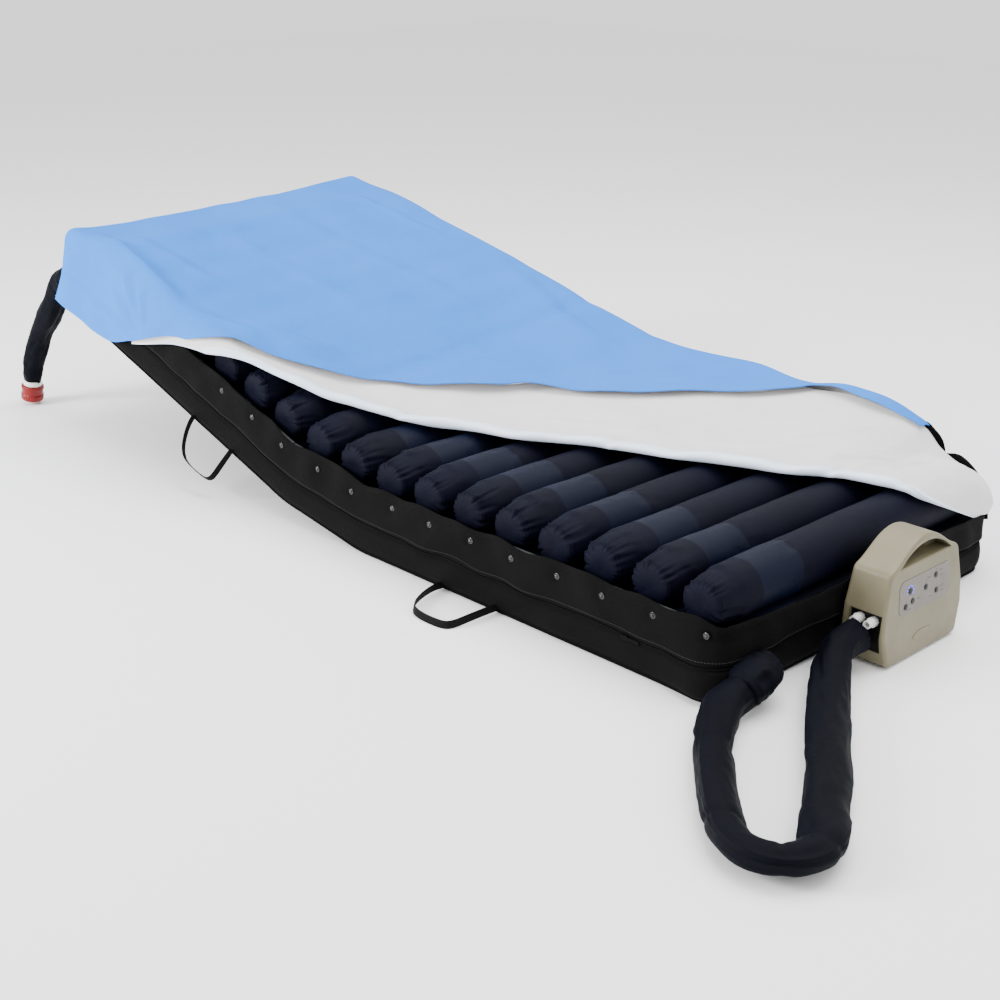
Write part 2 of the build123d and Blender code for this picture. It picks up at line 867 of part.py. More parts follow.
for name, place in buttons.items():
    with BuildPart() as button:
        with BuildSketch(panel_back.offset(panel_thickness + button_proud)):
            with Locations(place):
                Circle(button_radius)
        extrude(amount=-button_length)
        fillet(button.edges().group_by(Axis((0, 0, 0), panel_back.z_dir))[-1], button_round)
    save(button.part, name)

# ------------------------------------------------------------------ hose connectors
with BuildPart() as connector_plate:
    with BuildSketch(Plane.XZ.offset(plate_half_width - plate_thickness - pump_y)):
        with Locations((plate_x, plate_level)):
            Rectangle(plate_width, plate_height)
    extrude(amount=plate_thickness)
save(connector_plate.part, "connector_plate")

with BuildPart() as hose_connectors:
    connector_places = [(plate_x - connector_spacing / 2, connector_level)]
    connector_places.append((plate_x + connector_spacing / 2, connector_level))
    with BuildSketch(Plane.XZ.offset(plate_half_width - pump_y)):
        with Locations(*connector_places):
            RegularPolygon(connector_radius, 8)
    extrude(amount=connector_length / 2)
    with BuildSketch(Plane.XZ.offset(plate_half_width - pump_y + connector_length / 2)):
        with Locations(*connector_places):
            Circle(connector_tip_radius)
    extrude(amount=connector_length / 2)
    with BuildSketch(Plane.XZ.offset(plate_half_width - pump_y)):
        with Locations(*connector_places):
            Circle(connector_bore)
    extrude(amount=connector_length, mode=Mode.SUBTRACT)
save(hose_connectors.part, "hose_connectors")

# ------------------------------------------------------------------ power inlet and switch
with BuildPart() as power_inlet:
    with BuildSketch(Plane.XZ.offset(-inlet_floor)):
        with Locations((side_x, inlet_level)):
            Rectangle(inlet_width, inlet_height)
    extrude(amount=-inlet_depth)
    with BuildSketch(Plane.XZ.offset(-inlet_floor - inlet_depth)):
        with Locations((side_x, inlet_level)):
            Rectangle(inlet_width - 2 * inlet_rim, inlet_height - 2 * inlet_rim)
    extrude(amount=socket_depth, mode=Mode.SUBTRACT)
    with BuildSketch(Plane.XZ.offset(-inlet_floor - inlet_depth + socket_depth)):
        for offset_x in (-inlet_pin_spacing, 0, inlet_pin_spacing):
            with Locations((side_x + offset_x, inlet_level)):
                Rectangle(inlet_pin_size, inlet_pin_size * 2)
    extrude(amount=-inlet_pin_length)
save(power_inlet.part, "power_inlet")

with BuildPart() as power_switch:
    rocker_back = switch_floor + switch_clearance * 2
    with BuildSketch(Plane.XZ.offset(-rocker_back)):
        with Locations((side_x, switch_level)):
            Rectangle(switch_width, switch_height)
    extrude(amount=-switch_depth)
save(power_switch.part, "power_switch")

# ------------------------------------------------------------------ inside the pump
cavity_middle = (cavity_front + cavity_back) / 2
with BuildPart() as compressor:
    with BuildSketch(Plane.XY.offset(cavity_floor)):
        with Locations((cavity_middle, pump_y)):
            Rectangle(compressor_depth, compressor_width)
    extrude(amount=compressor_base)
    with BuildSketch(Plane.XZ.offset(-pump_y - compressor_width / 2)):
        with Locations((cavity_middle, cavity_floor + compressor_axis_height)):
            Circle(compressor_radius)
    extrude(amount=compressor_width)
save(compressor.part, "compressor")

with BuildPart() as circuit_board:
    with BuildSketch(Plane.YZ.offset(cavity_front)):
        with Locations((pump_y, board_level)):
            Rectangle(board_width, board_height)
    extrude(amount=-board_thickness)
save(circuit_board.part, "circuit_board")

# ------------------------------------------------------------------ swivel hooks
for side, name in ((-1, "hook_near"), (1, "hook_far")):
    plane_x = pump_back - hook_clearance
    pivot_y = pump_y + side * hook_y
    with BuildPart() as hook:
        with BuildSketch(Plane.YZ.offset(plane_x)):
            with Locations((pivot_y - side * hook_arm / 2, hook_level)):
                SlotCenterToCenter(hook_arm, hook_width)
        extrude(amount=-hook_thickness)
        with BuildSketch(Plane.YZ.offset(plane_x - hook_thickness)):
            with Locations((pivot_y - side * hook_arm, hook_level)):
                Rectangle(hook_lip_thickness, hook_width / 2)
        extrude(amount=-hook_lip)
        with BuildSketch(Plane.YZ.offset(plane_x)):
            with Locations((pivot_y, hook_level)):
                Circle(hook_pin_radius)
        extrude(amount=hook_pin_length)
    save(hook.part, name)
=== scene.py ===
"""Dressed model of an alternating-air mattress with its pump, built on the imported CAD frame.

Every length is in metres and in the CAD frame: +X runs to the foot end, -Y is the near long side
and z = 0 is the plane that the foot section lies on.  The soft pieces are drawn in the flat lie of
the mattress and `Lie` carries them up through its two bends.
"""

from __future__ import annotations

import json
import logging
import math
from dataclasses import dataclass, field
from enum import Enum
from typing import Callable, Sequence, Union

import bpy
import numpy as np
from mathutils import Matrix, Vector

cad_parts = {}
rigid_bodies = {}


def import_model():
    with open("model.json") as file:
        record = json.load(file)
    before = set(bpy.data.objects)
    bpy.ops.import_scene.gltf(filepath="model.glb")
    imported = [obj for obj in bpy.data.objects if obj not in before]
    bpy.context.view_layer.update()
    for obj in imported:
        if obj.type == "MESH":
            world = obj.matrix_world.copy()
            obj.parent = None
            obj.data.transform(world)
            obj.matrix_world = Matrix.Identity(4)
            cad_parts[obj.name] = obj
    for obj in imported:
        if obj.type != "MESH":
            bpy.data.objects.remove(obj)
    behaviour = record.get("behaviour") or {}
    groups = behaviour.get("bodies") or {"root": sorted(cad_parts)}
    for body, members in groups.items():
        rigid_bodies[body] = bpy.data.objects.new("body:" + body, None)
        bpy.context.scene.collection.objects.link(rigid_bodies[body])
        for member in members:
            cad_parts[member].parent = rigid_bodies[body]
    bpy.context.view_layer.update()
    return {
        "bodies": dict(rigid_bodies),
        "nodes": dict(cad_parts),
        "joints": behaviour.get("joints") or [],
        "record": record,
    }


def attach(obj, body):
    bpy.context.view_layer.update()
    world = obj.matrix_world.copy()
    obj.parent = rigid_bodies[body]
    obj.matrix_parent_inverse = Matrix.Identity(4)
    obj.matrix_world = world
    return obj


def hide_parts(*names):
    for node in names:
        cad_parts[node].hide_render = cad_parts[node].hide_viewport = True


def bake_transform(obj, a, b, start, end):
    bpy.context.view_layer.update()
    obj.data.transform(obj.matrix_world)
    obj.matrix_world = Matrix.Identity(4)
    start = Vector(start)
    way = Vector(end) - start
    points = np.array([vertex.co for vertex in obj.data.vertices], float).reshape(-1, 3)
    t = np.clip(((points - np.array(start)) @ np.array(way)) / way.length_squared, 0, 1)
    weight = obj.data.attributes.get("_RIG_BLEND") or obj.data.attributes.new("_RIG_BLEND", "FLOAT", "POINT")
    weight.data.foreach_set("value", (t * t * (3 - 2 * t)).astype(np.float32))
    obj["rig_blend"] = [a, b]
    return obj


log = logging.getLogger("mattress")
Piece = bpy.types.Object
Socket = bpy.types.NodeSocket
Point = tuple[float, float, float]
Curve = Sequence[tuple[float, float]]
Input = Union[Socket, float, tuple]


# ---------------- sizes
CELL_PITCH = 0.110
CELL_COUNT = 18
CELL_RADIUS = 0.053
CELL_LENGTH = 0.850
PIVOT_Z = 0.163
FIRST_BEND_X = -0.440
SECOND_BEND_X = -0.660
SPLIT_X = -0.550
REST_BEND = math.radians(9.3)
BEND_EASE = 0.050
FOOT_X = 0.446
HEAD_X = -1.546
HALF_WIDTH = 0.440
COVER_TOP = 0.2215
COVER_HALF = 0.4500
COVER_HEAD = -1.5510
COVER_ROUND = 0.029


# ---------------- small maths
def ease(value: np.ndarray | float) -> np.ndarray | float:
    """Smooth step from 0 to 1: t^2 (3 - 2 t), with t clipped to that range."""
    t = np.clip(value, 0.0, 1.0)
    return t * t * (3.0 - 2.0 * t)


def bell(value: np.ndarray, middle: float, width: float) -> np.ndarray:
    """Gaussian hump of height 1."""
    return np.exp(-(((value - middle) / width) ** 2))


def track(controls: Curve) -> Callable[[np.ndarray], np.ndarray]:
    """Monotone cubic curve through control points (Fritsch-Carlson slopes).

    Args:
        controls: (position, value) pairs in rising order of position.

    Returns:
        A function of position, constant outside the first and last control.
    """
    xs, ys = (np.array(column, float) for column in zip(*controls))
    steps = np.diff(xs)
    rates = np.diff(ys) / steps
    slopes = np.zeros_like(xs)
    same = rates[:-1] * rates[1:] > 0
    total = np.where(same, rates[:-1] + rates[1:], 1.0)
    slopes[1:-1] = np.where(same, 2 * rates[:-1] * rates[1:] / total, 0.0)
    slopes[0], slopes[-1] = rates[0], rates[-1]

    def value(position: np.ndarray) -> np.ndarray:
        """The height of the curve at each position."""
        x = np.clip(position, xs[0], xs[-1])
        k = np.clip(np.searchsorted(xs, x) - 1, 0, len(steps) - 1)
        t = (x - xs[k]) / steps[k]
        rise = ys[k] * (1 + 2 * t) * (1 - t) ** 2 + ys[k + 1] * t * t * (3 - 2 * t)
        lean = slopes[k] * t * (1 - t) ** 2 - slopes[k + 1] * t * t * (1 - t)
        return rise + steps[k] * lean

    return value


@dataclass
class Ripples:
    """Repeatable unevenness: the mean of plane waves in seeded directions, about -1 to 1."""

    seed: int
    wavelength: float
    waves: int = 9

    def __post_init__(self) -> None:
        """Draw the direction, the length and the phase of every wave."""
        rng = np.random.default_rng(self.seed)
        angle = rng.uniform(-math.pi, math.pi, self.waves)
        number = 2 * math.pi / (self.wavelength * rng.uniform(0.6, 1.6, self.waves))
        self.kx, self.ky = number * np.cos(angle), number * np.sin(angle)
        self.phase = rng.uniform(0, 2 * math.pi, self.waves)
        self.gain = math.sqrt(2.0 / self.waves)

    def __call__(self, u: np.ndarray, v: np.ndarray) -> np.ndarray:
        """Height of the ripples over a plane.

        Args:
            u: first coordinate.
            v: second coordinate, of a shape that broadcasts with the first.

        Returns:
            The heights, in the broadcast shape.
        """
        u, v = np.broadcast_arrays(np.asarray(u, float), np.asarray(v, float))
        total = np.zeros(u.shape)
        for kx, ky, phase in zip(self.kx, self.ky, self.phase):
            total += np.cos(kx * u + ky * v + phase)
        return total * self.gain / 1.6


# ---------------- the raised lie
class Half(Enum):
    """The two halves of the covers, which meet at SPLIT_X."""

    FOOT = "foot"
    HEAD = "head"


class Section(Enum):
    """The three stiff sections of the mattress, named as the CAD names its bodies."""

    FOOT = "foot_section"
    FLEX = "flex_section"
    HEAD = "head_section"


class Lie:
    """Carries points from the flat lie to the raised lie through the two bends at rest."""

    @staticmethod
    def _turn(points: np.ndarray, pivot_x: float, angle: np.ndarray | float) -> np.ndarray:
        """Turn about a line along Y through (pivot_x, PIVOT_Z).

        Args:
            points: places to turn.
            pivot_x: where the line crosses the flat lie.
            angle: turn of each point, raising the head end.

        Returns:
            The turned places.
        """
        dx, dz = points[..., 0] - pivot_x, points[..., 2] - PIVOT_Z
        c, s = np.cos(angle), np.sin(angle)
        out = points.copy()
        out[..., 0] = pivot_x + dx * c + dz * s
        out[..., 2] = PIVOT_Z - dx * s + dz * c
        return out

    @classmethod
    def carry(cls, points: np.ndarray, section: Section | None = None) -> np.ndarray:
        """Raise points, stiffly with one section, or smoothly across both bends.

        Args:
            points: array whose last axis is x, y, z in the flat lie.
            section: the stiff section, or None for cloth that bends.

        Returns:
            The raised points, in the shape of the input.
        """
        points = np.asarray(points, float)
        if section is None:
            x = points[..., 0]
            first = ease((FIRST_BEND_X + BEND_EASE - x) / (2 * BEND_EASE))
            second = ease((SECOND_BEND_X + BEND_EASE - x) / (2 * BEND_EASE))
        else:
            first = 0.0 if section is Section.FOOT else 1.0
            second = 1.0 if section is Section.HEAD else 0.0
        points = cls._turn(points, SECOND_BEND_X, second * REST_BEND)
        return cls._turn(points, FIRST_BEND_X, first * REST_BEND)

    @classmethod
    def span(cls, bend_x: float) -> tuple[Point, Point]:
        """Args:
            bend_x: place of the bend in the flat lie.

        Returns:
            The raised ends of the eased stretch, foot side first.
        """
        ends = np.array([[bend_x + s * BEND_EASE, 0.0, PIVOT_Z] for s in (1, -1)])
        start, end = (tuple(float(v) for v in p) for p in cls.carry(ends))
        return start, end


def corner_sag(x: np.ndarray, y: np.ndarray) -> np.ndarray:
    """How far the cells and the cover sink along the head end, least at its far corner."""
    depth = track([(-0.45, 0.031), (-0.25, 0.040), (0.0, 0.036), (0.25, 0.018), (0.45, 0.006)])(y)
    return depth * ease((-1.36 - x) / 0.17)


def cell_section(number: int) -> Section:
    """The section that holds an air cell, counted from 1 at the foot end.

    Args:
        number: of the cell.

    Returns:
        Its section.
    """
    if number <= 8:
        return Section.FOOT
    return Section.FLEX if number <= 10 else Section.HEAD


def cell_x(number: int) -> float:
    """The flat-lie place of an air cell's middle."""
    return 0.385 - (number - 1) * CELL_PITCH


# ---------------- meshes
def build(
    name: str,
    points: np.ndarray,
    quads: np.ndarray,
    tris: np.ndarray | None = None,
    parts: np.ndarray | None = None,
) -> Piece:
    """Make a smooth-shaded mesh object from arrays.

    Args:
        name: object name.
        points: (n, 3) vertex places.
        quads: (m, 4) vertex numbers.
        tris: (k, 3) vertex numbers, if any.
        parts: material slot number of each face, quads first.

    Returns:
        The linked object.
    """
    points = np.ascontiguousarray(points.reshape(-1, 3), dtype=np.float32)
    tris = np.zeros((0, 3), int) if tris is None else np.asarray(tris, int)
    quads = np.asarray(quads, int).reshape(-1, 4)
    loops = np.concatenate([quads.ravel(), tris.ravel()]).astype(np.int32)
    sizes = np.concatenate([np.full(len(quads), 4), np.full(len(tris), 3)]).astype(np.int32)
    starts = np.concatenate([[0], np.cumsum(sizes)[:-1]]).astype(np.int32)
    mesh = bpy.data.meshes.new(name)
    mesh.vertices.add(len(points))
    mesh.vertices.foreach_set("co", points.ravel())
    mesh.loops.add(len(loops))
    mesh.loops.foreach_set("vertex_index", loops)
    mesh.polygons.add(len(sizes))
    mesh.polygons.foreach_set("loop_start", starts)
    mesh.polygons.foreach_set("loop_total", sizes)
    mesh.polygons.foreach_set("use_smooth", np.ones(len(sizes), bool))
    if parts is not None:
        mesh.polygons.foreach_set("material_index", np.asarray(parts, np.int32))
    mesh.update(calc_edges=True)
    mesh.validate()
    piece = bpy.data.objects.new(name, mesh)
    bpy.context.scene.collection.objects.link(piece)
    return piece


def lattice(rows: int, cols: int, wrap: bool = False, base: int = 0) -> np.ndarray:
    """Quads of a rows by cols grid of vertices, closed along the columns if wrap.

    Args:
        rows: number of rows.
        cols: number of columns.
        wrap: whether the last column joins the first.
        base: number of the first vertex.

    Returns:
        (n, 4) vertex numbers.
    """
    r = np.arange(rows - 1)[:, None]
    c = np.arange(cols if wrap else cols - 1)[None, :]
    d = (c + 1) % cols
    corners = [r * cols + c, r * cols + d, (r + 1) * cols + d, (r + 1) * cols + c]
    return np.stack([np.broadcast_to(k, (rows - 1, c.size)) for k in corners], -1).reshape(-1, 4) + base


def end_fans(rows: int, cols: int) -> np.ndarray:
    """Triangles that close both ends of a wrapped grid, with its two tips as the next vertices.

    Args:
        rows: number of rings.
        cols: number of vertices in a ring.

    Returns:
        (2 * cols, 3) vertex numbers.
    """
    k = np.arange(cols)
    after = (k + 1) % cols
    tip, last = rows * cols, (rows - 1) * cols
    first_fan = np.stack([np.full(cols, tip), after, k], 1)
    return np.concatenate([first_fan, np.stack([np.full(cols, tip + 1), last + k, last + after], 1)])


def normals_of(grid: np.ndarray) -> np.ndarray:
    """Unit normals of a grid surface, the cross product of its two directions.

    Args:
        grid: (rows, cols, 3) places.

    Returns:
        (rows, cols, 3) directions.
    """
    normal = np.cross(np.gradient(grid, axis=0), np.gradient(grid, axis=1))
    length = np.linalg.norm(normal, axis=-1, keepdims=True)
    return normal / np.maximum(length, 1e-9)


def cloth_sheet(name: str, grid: np.ndarray, thickness: float, edge: int = 0) -> Piece:
    """Closed sheet of cloth whose outer face is the grid and whose inner face lies behind it.

    Outer faces and rims take material slot 0, inner faces slot 1, and slot 2 goes to an edge band of painted
    light.

    Args:
        name: object name.
        grid: (rows, cols, 3) places, with row x column pointing out of the outer face.
        thickness: distance between the faces.
        edge: number of first columns of the outer face in the edge band of painted light.

    Returns:
        The object.
    """
    rows, cols = grid.shape[:2]
    count = rows * cols
    inner = grid - normals_of(grid) * thickness
    front = lattice(rows, cols)
    back = lattice(rows, cols, base=count)[:, ::-1]
    index = np.arange(count).reshape(rows, cols)
    ring = np.concatenate([index[0, :-1], index[:-1, -1], index[-1, :0:-1], index[:0:-1, 0]])
    after = np.roll(ring, -1)
    rim = np.stack([after, ring, ring + count, after + count], 1)
    quads = np.concatenate([front, back, rim])
    # Slot 2 marks the edge band that takes painted light.
    outer = np.where(np.arange(cols - 1) < edge, 2, 0)
    parts = np.concatenate([np.tile(outer, rows - 1), np.ones(len(back)), np.zeros(len(rim))])
    sheet = build(name, np.concatenate([grid.reshape(-1, 3), inner.reshape(-1, 3)]), quads, parts=parts)
    ends = np.empty(len(sheet.data.edges) * 2, dtype=np.int32)
    sheet.data.edges.foreach_get("vertices", ends)
    border = np.isin(ends, np.concatenate([ring, ring + count])).reshape(-1, 2).all(1)
    layers = sheet.data.attributes
    sharp = layers.get("sharp_edge") or layers.new("sharp_edge", "BOOLEAN", "EDGE")
    sharp.data.foreach_set("value", border)
    return sheet


def frames_along(line: np.ndarray, up: Point = (0.0, 0.0, 1.0)) -> tuple[np.ndarray, np.ndarray]:
    """Two unit directions across a line at each of its points, the second as near to up as can be.

    Args:
        line: (n, 3) places.
        up: direction that the second one keeps to.

    Returns:
        (n, 3) sideways directions and (n, 3) rising ones.
    """
    along = np.gradient(line, axis=0)
    along /= np.linalg.norm(along, axis=1, keepdims=True)
    side = np.cross(along, np.array(up))
    side /= np.maximum(np.linalg.norm(side, axis=1, keepdims=True), 1e-9)
    return side, np.cross(side, along)


def tube(name: str, line: np.ndarray, offsets: np.ndarray, up: Point = (0.0, 0.0, 1.0)) -> Piece:
    """Closed tube along a line.

    Args:
        name: object name.
        line: (n, 3) centreline.
        offsets: (n, m, 2) section points, sideways and up, counter-clockwise seen from behind.
        up: direction that the section's second axis keeps to.

    Returns:
        The object, with both ends closed.
    """
    side, rise = frames_along(line, up)
    ring = line[:, None] + offsets[..., :1] * side[:, None] + offsets[..., 1:] * rise[:, None]
    rows, cols = ring.shape[:2]
    points = np.concatenate([ring.reshape(-1, 3), line[:1], line[-1:]])
    piece = build(name, points, lattice(rows, cols, wrap=True), end_fans(rows, cols))
    face_out(piece)
    return piece


def face_out(piece: Piece) -> None:
    """Turn the faces of a closed mesh outwards if its signed volume is negative.

    Args:
        piece: the object.
    """
    mesh = piece.data
    count = len(mesh.vertices)
    co = np.empty(count * 3)
    mesh.vertices.foreach_get("co", co)
    co = co.reshape(-1, 3)
    mesh.calc_loop_triangles()
    tri = np.empty(len(mesh.loop_triangles) * 3, np.int32)
    mesh.loop_triangles.foreach_get("vertices", tri)
    a, b, c = (co[tri.reshape(-1, 3)[:, k]] for k in range(3))
    if np.einsum("ij,ij->i", a, np.cross(b, c)).sum() < 0:
        mesh.flip_normals()


def lathe(
    name: str,
    origin: Point,
    axis: Point,
    profile: Curve,
    around: int = 48,
    ribs: Callable[[np.ndarray, np.ndarray], np.ndarray] | None = None,
) -> Piece:
    """Turned piece: a closed profile of (height, radius) swept about an axis.

    Args:
        name: object name.
        origin: foot of the axis.
        axis: its direction.
        profile: points from the axis round to the axis again, radius 0 at both ends.
        around: number of steps round.
        ribs: extra radius as a function of angle and height.

    Returns:
        The object.
    """
    w = np.array(axis, float)
    w /= np.linalg.norm(w)
    helper = np.array([0.0, 0.0, 1.0]) if abs(w[2]) < 0.9 else np.array([0.0, 1.0, 0.0])
    u = np.cross(helper, w)
    u /= np.linalg.norm(u)
    v = np.cross(w, u)
    angle = np.linspace(0, 2 * math.pi, around, endpoint=False)
    heights, radii = (np.array(column, float) for column in zip(*profile))
    body_h, body_r = heights[1:-1, None], radii[1:-1, None] * np.ones(around)
    if ribs is not None:
        body_r = body_r + ribs(angle[None, :], body_h)
    ring = (
        np.array(origin)
        + body_h[..., None] * w
        + body_r[..., None] * (np.cos(angle)[None, :, None] * u + np.sin(angle)[None, :, None] * v)
    )
    rows = len(heights) - 2
    tips = np.array(origin) + np.array([heights[0], heights[-1]])[:, None] * w
    points = np.concatenate([ring.reshape(-1, 3), tips])
    piece = build(name, points, lattice(rows, around, wrap=True), end_fans(rows, around))
    face_out(piece)
    return piece


def join(name: str, pieces: Sequence[Piece]) -> Piece:
    """Join meshes that move as one into a single object.

    Args:
        name: object name.
        pieces: objects to join, which are removed.

    Returns:
        The joined object.
    """
    points, quads, tris, base = [], [], [], 0
    for piece in pieces:
        mesh = piece.data
        co = np.empty(len(mesh.vertices) * 3)
        mesh.vertices.foreach_get("co", co)
        points.append(co.reshape(-1, 3))
        for face in mesh.polygons:
            (quads if face.loop_total == 4 else tris).append([base + v for v in face.vertices])
        base += len(mesh.vertices)
        bpy.data.objects.remove(piece)
        bpy.data.meshes.remove(mesh)
    tris = np.array(tris, int).reshape(-1, 3)
    return build(name, np.concatenate(points), np.array(quads, int).reshape(-1, 4), tris)


# ---------------- materials
def srgb(code: str) -> tuple[float, float, float, float]:
    """Linear colour of an sRGB hex code such as 8ab8e4.

    Args:
        code: six hex digits.

    Returns:
        Red, green, blue and alpha, each from 0 to 1.
    """
    levels = [int(code[k : k + 2], 16) / 255 for k in (0, 2, 4)]
    linear = [v / 12.92 if v <= 0.04045 else ((v + 0.055) / 1.055) ** 2.4 for v in levels]
    return (*linear, 1.0)


class Shading:
    """A material's node tree, with one helper that adds and links nodes."""

    def __init__(self, name: str) -> None:
        """Start a material with its surface shader and its object coordinates."""
        self.material = bpy.data.materials.new(name)
        self.material.use_nodes = True
        self.tree = self.material.node_tree
        self.tree.nodes.clear()
        self.surface = self.add("ShaderNodeBsdfPrincipled")
        out = self.add("ShaderNodeOutputMaterial")
        self.tree.links.new(self.surface.outputs[0], out.inputs["Surface"])
        self.place = self.add("ShaderNodeTexCoord").outputs["Object"]

    def add(self, kind: str, inputs: dict | None = None, **settings: object) -> bpy.types.Node:
        """Add a node, set its properties, then set or link its inputs.

        Args:
            kind: type name of the node.
            inputs: sockets by name or number, each with a value or a link.
            settings: properties of the node.

        Returns:
            The node.
        """
        node = self.tree.nodes.new(kind)
        for key, value in settings.items():
            setattr(node, key, value)
        for key, value in (inputs or {}).items():
            if isinstance(value, Socket):
                self.tree.links.new(value, node.inputs[key])
            else:
                node.inputs[key].default_value = value
        return node

    def set(self, **values: Input) -> None:
        """Set or link sockets of the surface shader, named with _ for a space.

        Args:
            values: socket names with their values or links.
        """
        for key, value in values.items():
            socket = self.surface.inputs[key.replace("_", " ")]
            if isinstance(value, Socket):
                self.tree.links.new(value, socket)
            else:
                socket.default_value = value

    def noise(
        self, scale: float, detail: float = 4.0, stretch: Point = (1, 1, 1), rough: float = 0.55
    ) -> Socket:
        """Noise over the object, from 0 to 1.

        Args:
            scale: of the largest blotches, per metre.
            detail: number of finer octaves.
            stretch: scale along each axis.
            rough: strength of the finer octaves.

        Returns:
            The noise's socket.
        """
        where = self.add("ShaderNodeMapping", {"Vector": self.place, "Scale": stretch}).outputs[0]
        return self.add(
            "ShaderNodeTexNoise", {"Vector": where, "Scale": scale, "Detail": detail, "Roughness": rough}
        ).outputs["Fac"]

    def waves(self, scale: float, direction: str, distortion: float = 0.0) -> Socket:
        """Fine parallel bands, from 0 to 1."""
        return self.add(
            "ShaderNodeTexWave",
            {"Vector": self.place, "Scale": scale, "Distortion": distortion},
            bands_direction=direction,
        ).outputs["Fac"]

    def span(
        self, value: Input, low: float, high: float, start: float = 0.0, end: float = 1.0
    ) -> Socket:
        """Map a value from one range to another, clamped."""
        return self.add(
            "ShaderNodeMapRange",
            {"Value": value, "From Min": start, "From Max": end, "To Min": low, "To Max": high},
        ).outputs[0]

    def math(self, operation: str, a: Input, b: Input = 0.0) -> Socket:
        """One arithmetic step."""
        return self.add("ShaderNodeMath", {0: a, 1: b}, operation=operation).outputs[0]

    def mix(self, factor: Input, a: Input, b: Input) -> Socket:
        """Mix two colours.

        Args:
            factor: share of the second colour.
            a: first colour.
            b: second colour.

        Returns:
            The mixed colour's socket.
        """
        node = self.add("ShaderNodeMix", data_type="RGBA")
        for index, value in ((0, factor), (6, a), (7, b)):
            if isinstance(value, Socket):
                self.tree.links.new(value, node.inputs[index])
            else:
                node.inputs[index].default_value = value
        return node.outputs[2]

    def bump(
        self, height: Input, strength: float, distance: float, under: Input | None = None
    ) -> Socket:
        """Bump from a height, on top of an earlier bump.

        Args:
            height: from 0 to 1.
            strength: share of the bump that shows.
            distance: height of 1 in metres.
            under: the earlier bump, if any.

        Returns:
            The normal's socket.
        """
        inputs = {"Height": height, "Strength": strength, "Distance": distance}
        if under is not None:
            inputs["Normal"] = under
        return self.add("ShaderNodeBump", inputs).outputs[0]


@dataclass(frozen=True)
class ClothFinish:
    """A woven or coated cloth."""

    name: str
    colour: str
    shade: str
    roughness: float = 0.8
    sheen: float = 0.2
    crease: float = 0.35
    crease_scale: float = 16.0
    weave: float = 0.25
    thread: float = 900.0
    specular: float = 0.4

    def make(self) -> Shading:
        """Blotched colour, soft creases and a fine plain weave.

        Returns:
            The material's shading.
        """
        s = Shading(self.name)
        broad = s.noise(5.0, 5.0)
        fine = s.noise(70.0, 3.0)
        tone = s.math("ADD", s.math("MULTIPLY", broad, 0.7), s.math("MULTIPLY", fine, 0.3))
        colour = s.mix(s.span(tone, 0, 1, 0.3, 0.7), srgb(self.shade), srgb(self.colour))
        creases = s.bump(s.noise(self.crease_scale, 6.0, rough=0.5), self.crease, 0.004)
        weft, warp = s.waves(self.thread, "Y"), s.waves(self.thread, "X")
        weave = s.math("MULTIPLY", weft, warp)
        s.set(
            Base_Color=colour,
            Roughness=s.span(fine, self.roughness - 0.06, self.roughness + 0.06),
            Sheen_Weight=self.sheen,
            Sheen_Roughness=0.5,
            Specular_IOR_Level=self.specular,
            Normal=s.bump(weave, self.weave, 0.0004, creases),
        )
        return s


@dataclass(frozen=True)
class PlasticFinish:
    """Moulded plastic, rubber or resin."""

    name: str
    colour: str
    shade: str
    roughness: float = 0.42
    grain: float = 0.12
    grain_scale: float = 900.0
    coat: float = 0.0
    specular: float = 0.5

    def make(self) -> Shading:
        """Slight colour drift, a fine moulded grain and handling smudges.

        Returns:
            The material's shading.
        """
        s = Shading(self.name)
        drift = s.noise(9.0, 4.0)
        smudge = s.noise(38.0, 5.0)
        s.set(
            Base_Color=s.mix(s.span(drift, 0, 1, 0.35, 0.7), srgb(self.colour), srgb(self.shade)),
            Roughness=s.span(smudge, self.roughness - 0.08, self.roughness + 0.08, 0.3, 0.7),
            Coat_Weight=self.coat,
            Specular_IOR_Level=self.specular,
            Normal=s.bump(s.noise(self.grain_scale, 2.0), self.grain, 0.0003),
        )
        return s


@dataclass(frozen=True)
class MetalFinish:
    """Bare or plated metal."""

    name: str
    colour: str
    roughness: float = 0.25
    brushed: float = 0.1

    def make(self) -> Shading:
        """Metal with fine scratches and a little uneven gloss.

        Returns:
            The material's shading.
        """
        s = Shading(self.name)
        scratch = s.noise(300.0, 3.0, stretch=(1, 12, 12))
        worn = s.noise(60.0, 4.0)
        s.set(
            Base_Color=s.mix(s.span(worn, 0, 0.35), srgb(self.colour), srgb("8a8a88")),
            Metallic=1.0,
            Roughness=s.span(worn, self.roughness - 0.06, self.roughness + 0.12),
            Normal=s.bump(scratch, self.brushed, 0.0002),
        )
        return s


@dataclass(frozen=True)
class CellFinish(ClothFinish):
    """Coated nylon of the air cells, with a smoother patch near one end of each."""

    patch: str = "222c46"
    patch_from: float = -0.31
    patch_to: float = -0.195

    def make(self) -> Shading:
        """Cloth, with the patch masked by its place across the mattress.

        Returns:
            The material's shading.
        """
        s = super().make()
        across = s.add("ShaderNodeSeparateXYZ", {"Vector": s.place}).outputs["Y"]
        wander = s.math("MULTIPLY", s.math("SUBTRACT", s.noise(6.0, 2.0), 0.5), 0.03)
        across = s.math("ADD", across, wander)
        inside = s.math(
            "MULTIPLY",
            s.span(across, 0, 1, self.patch_from - 0.002, self.patch_from + 0.002),
            s.span(across, 1, 0, self.patch_to - 0.002, self.patch_to + 0.002),
        )
        base = s.surface.inputs["Base Color"].links[0].from_socket
        rough = s.surface.inputs["Roughness"].links[0].from_socket
        s.set(
            Base_Color=s.mix(inside, base, srgb(self.patch)),
            Roughness=s.math("SUBTRACT", rough, s.math("MULTIPLY", inside, 0.16)),
        )
        return s


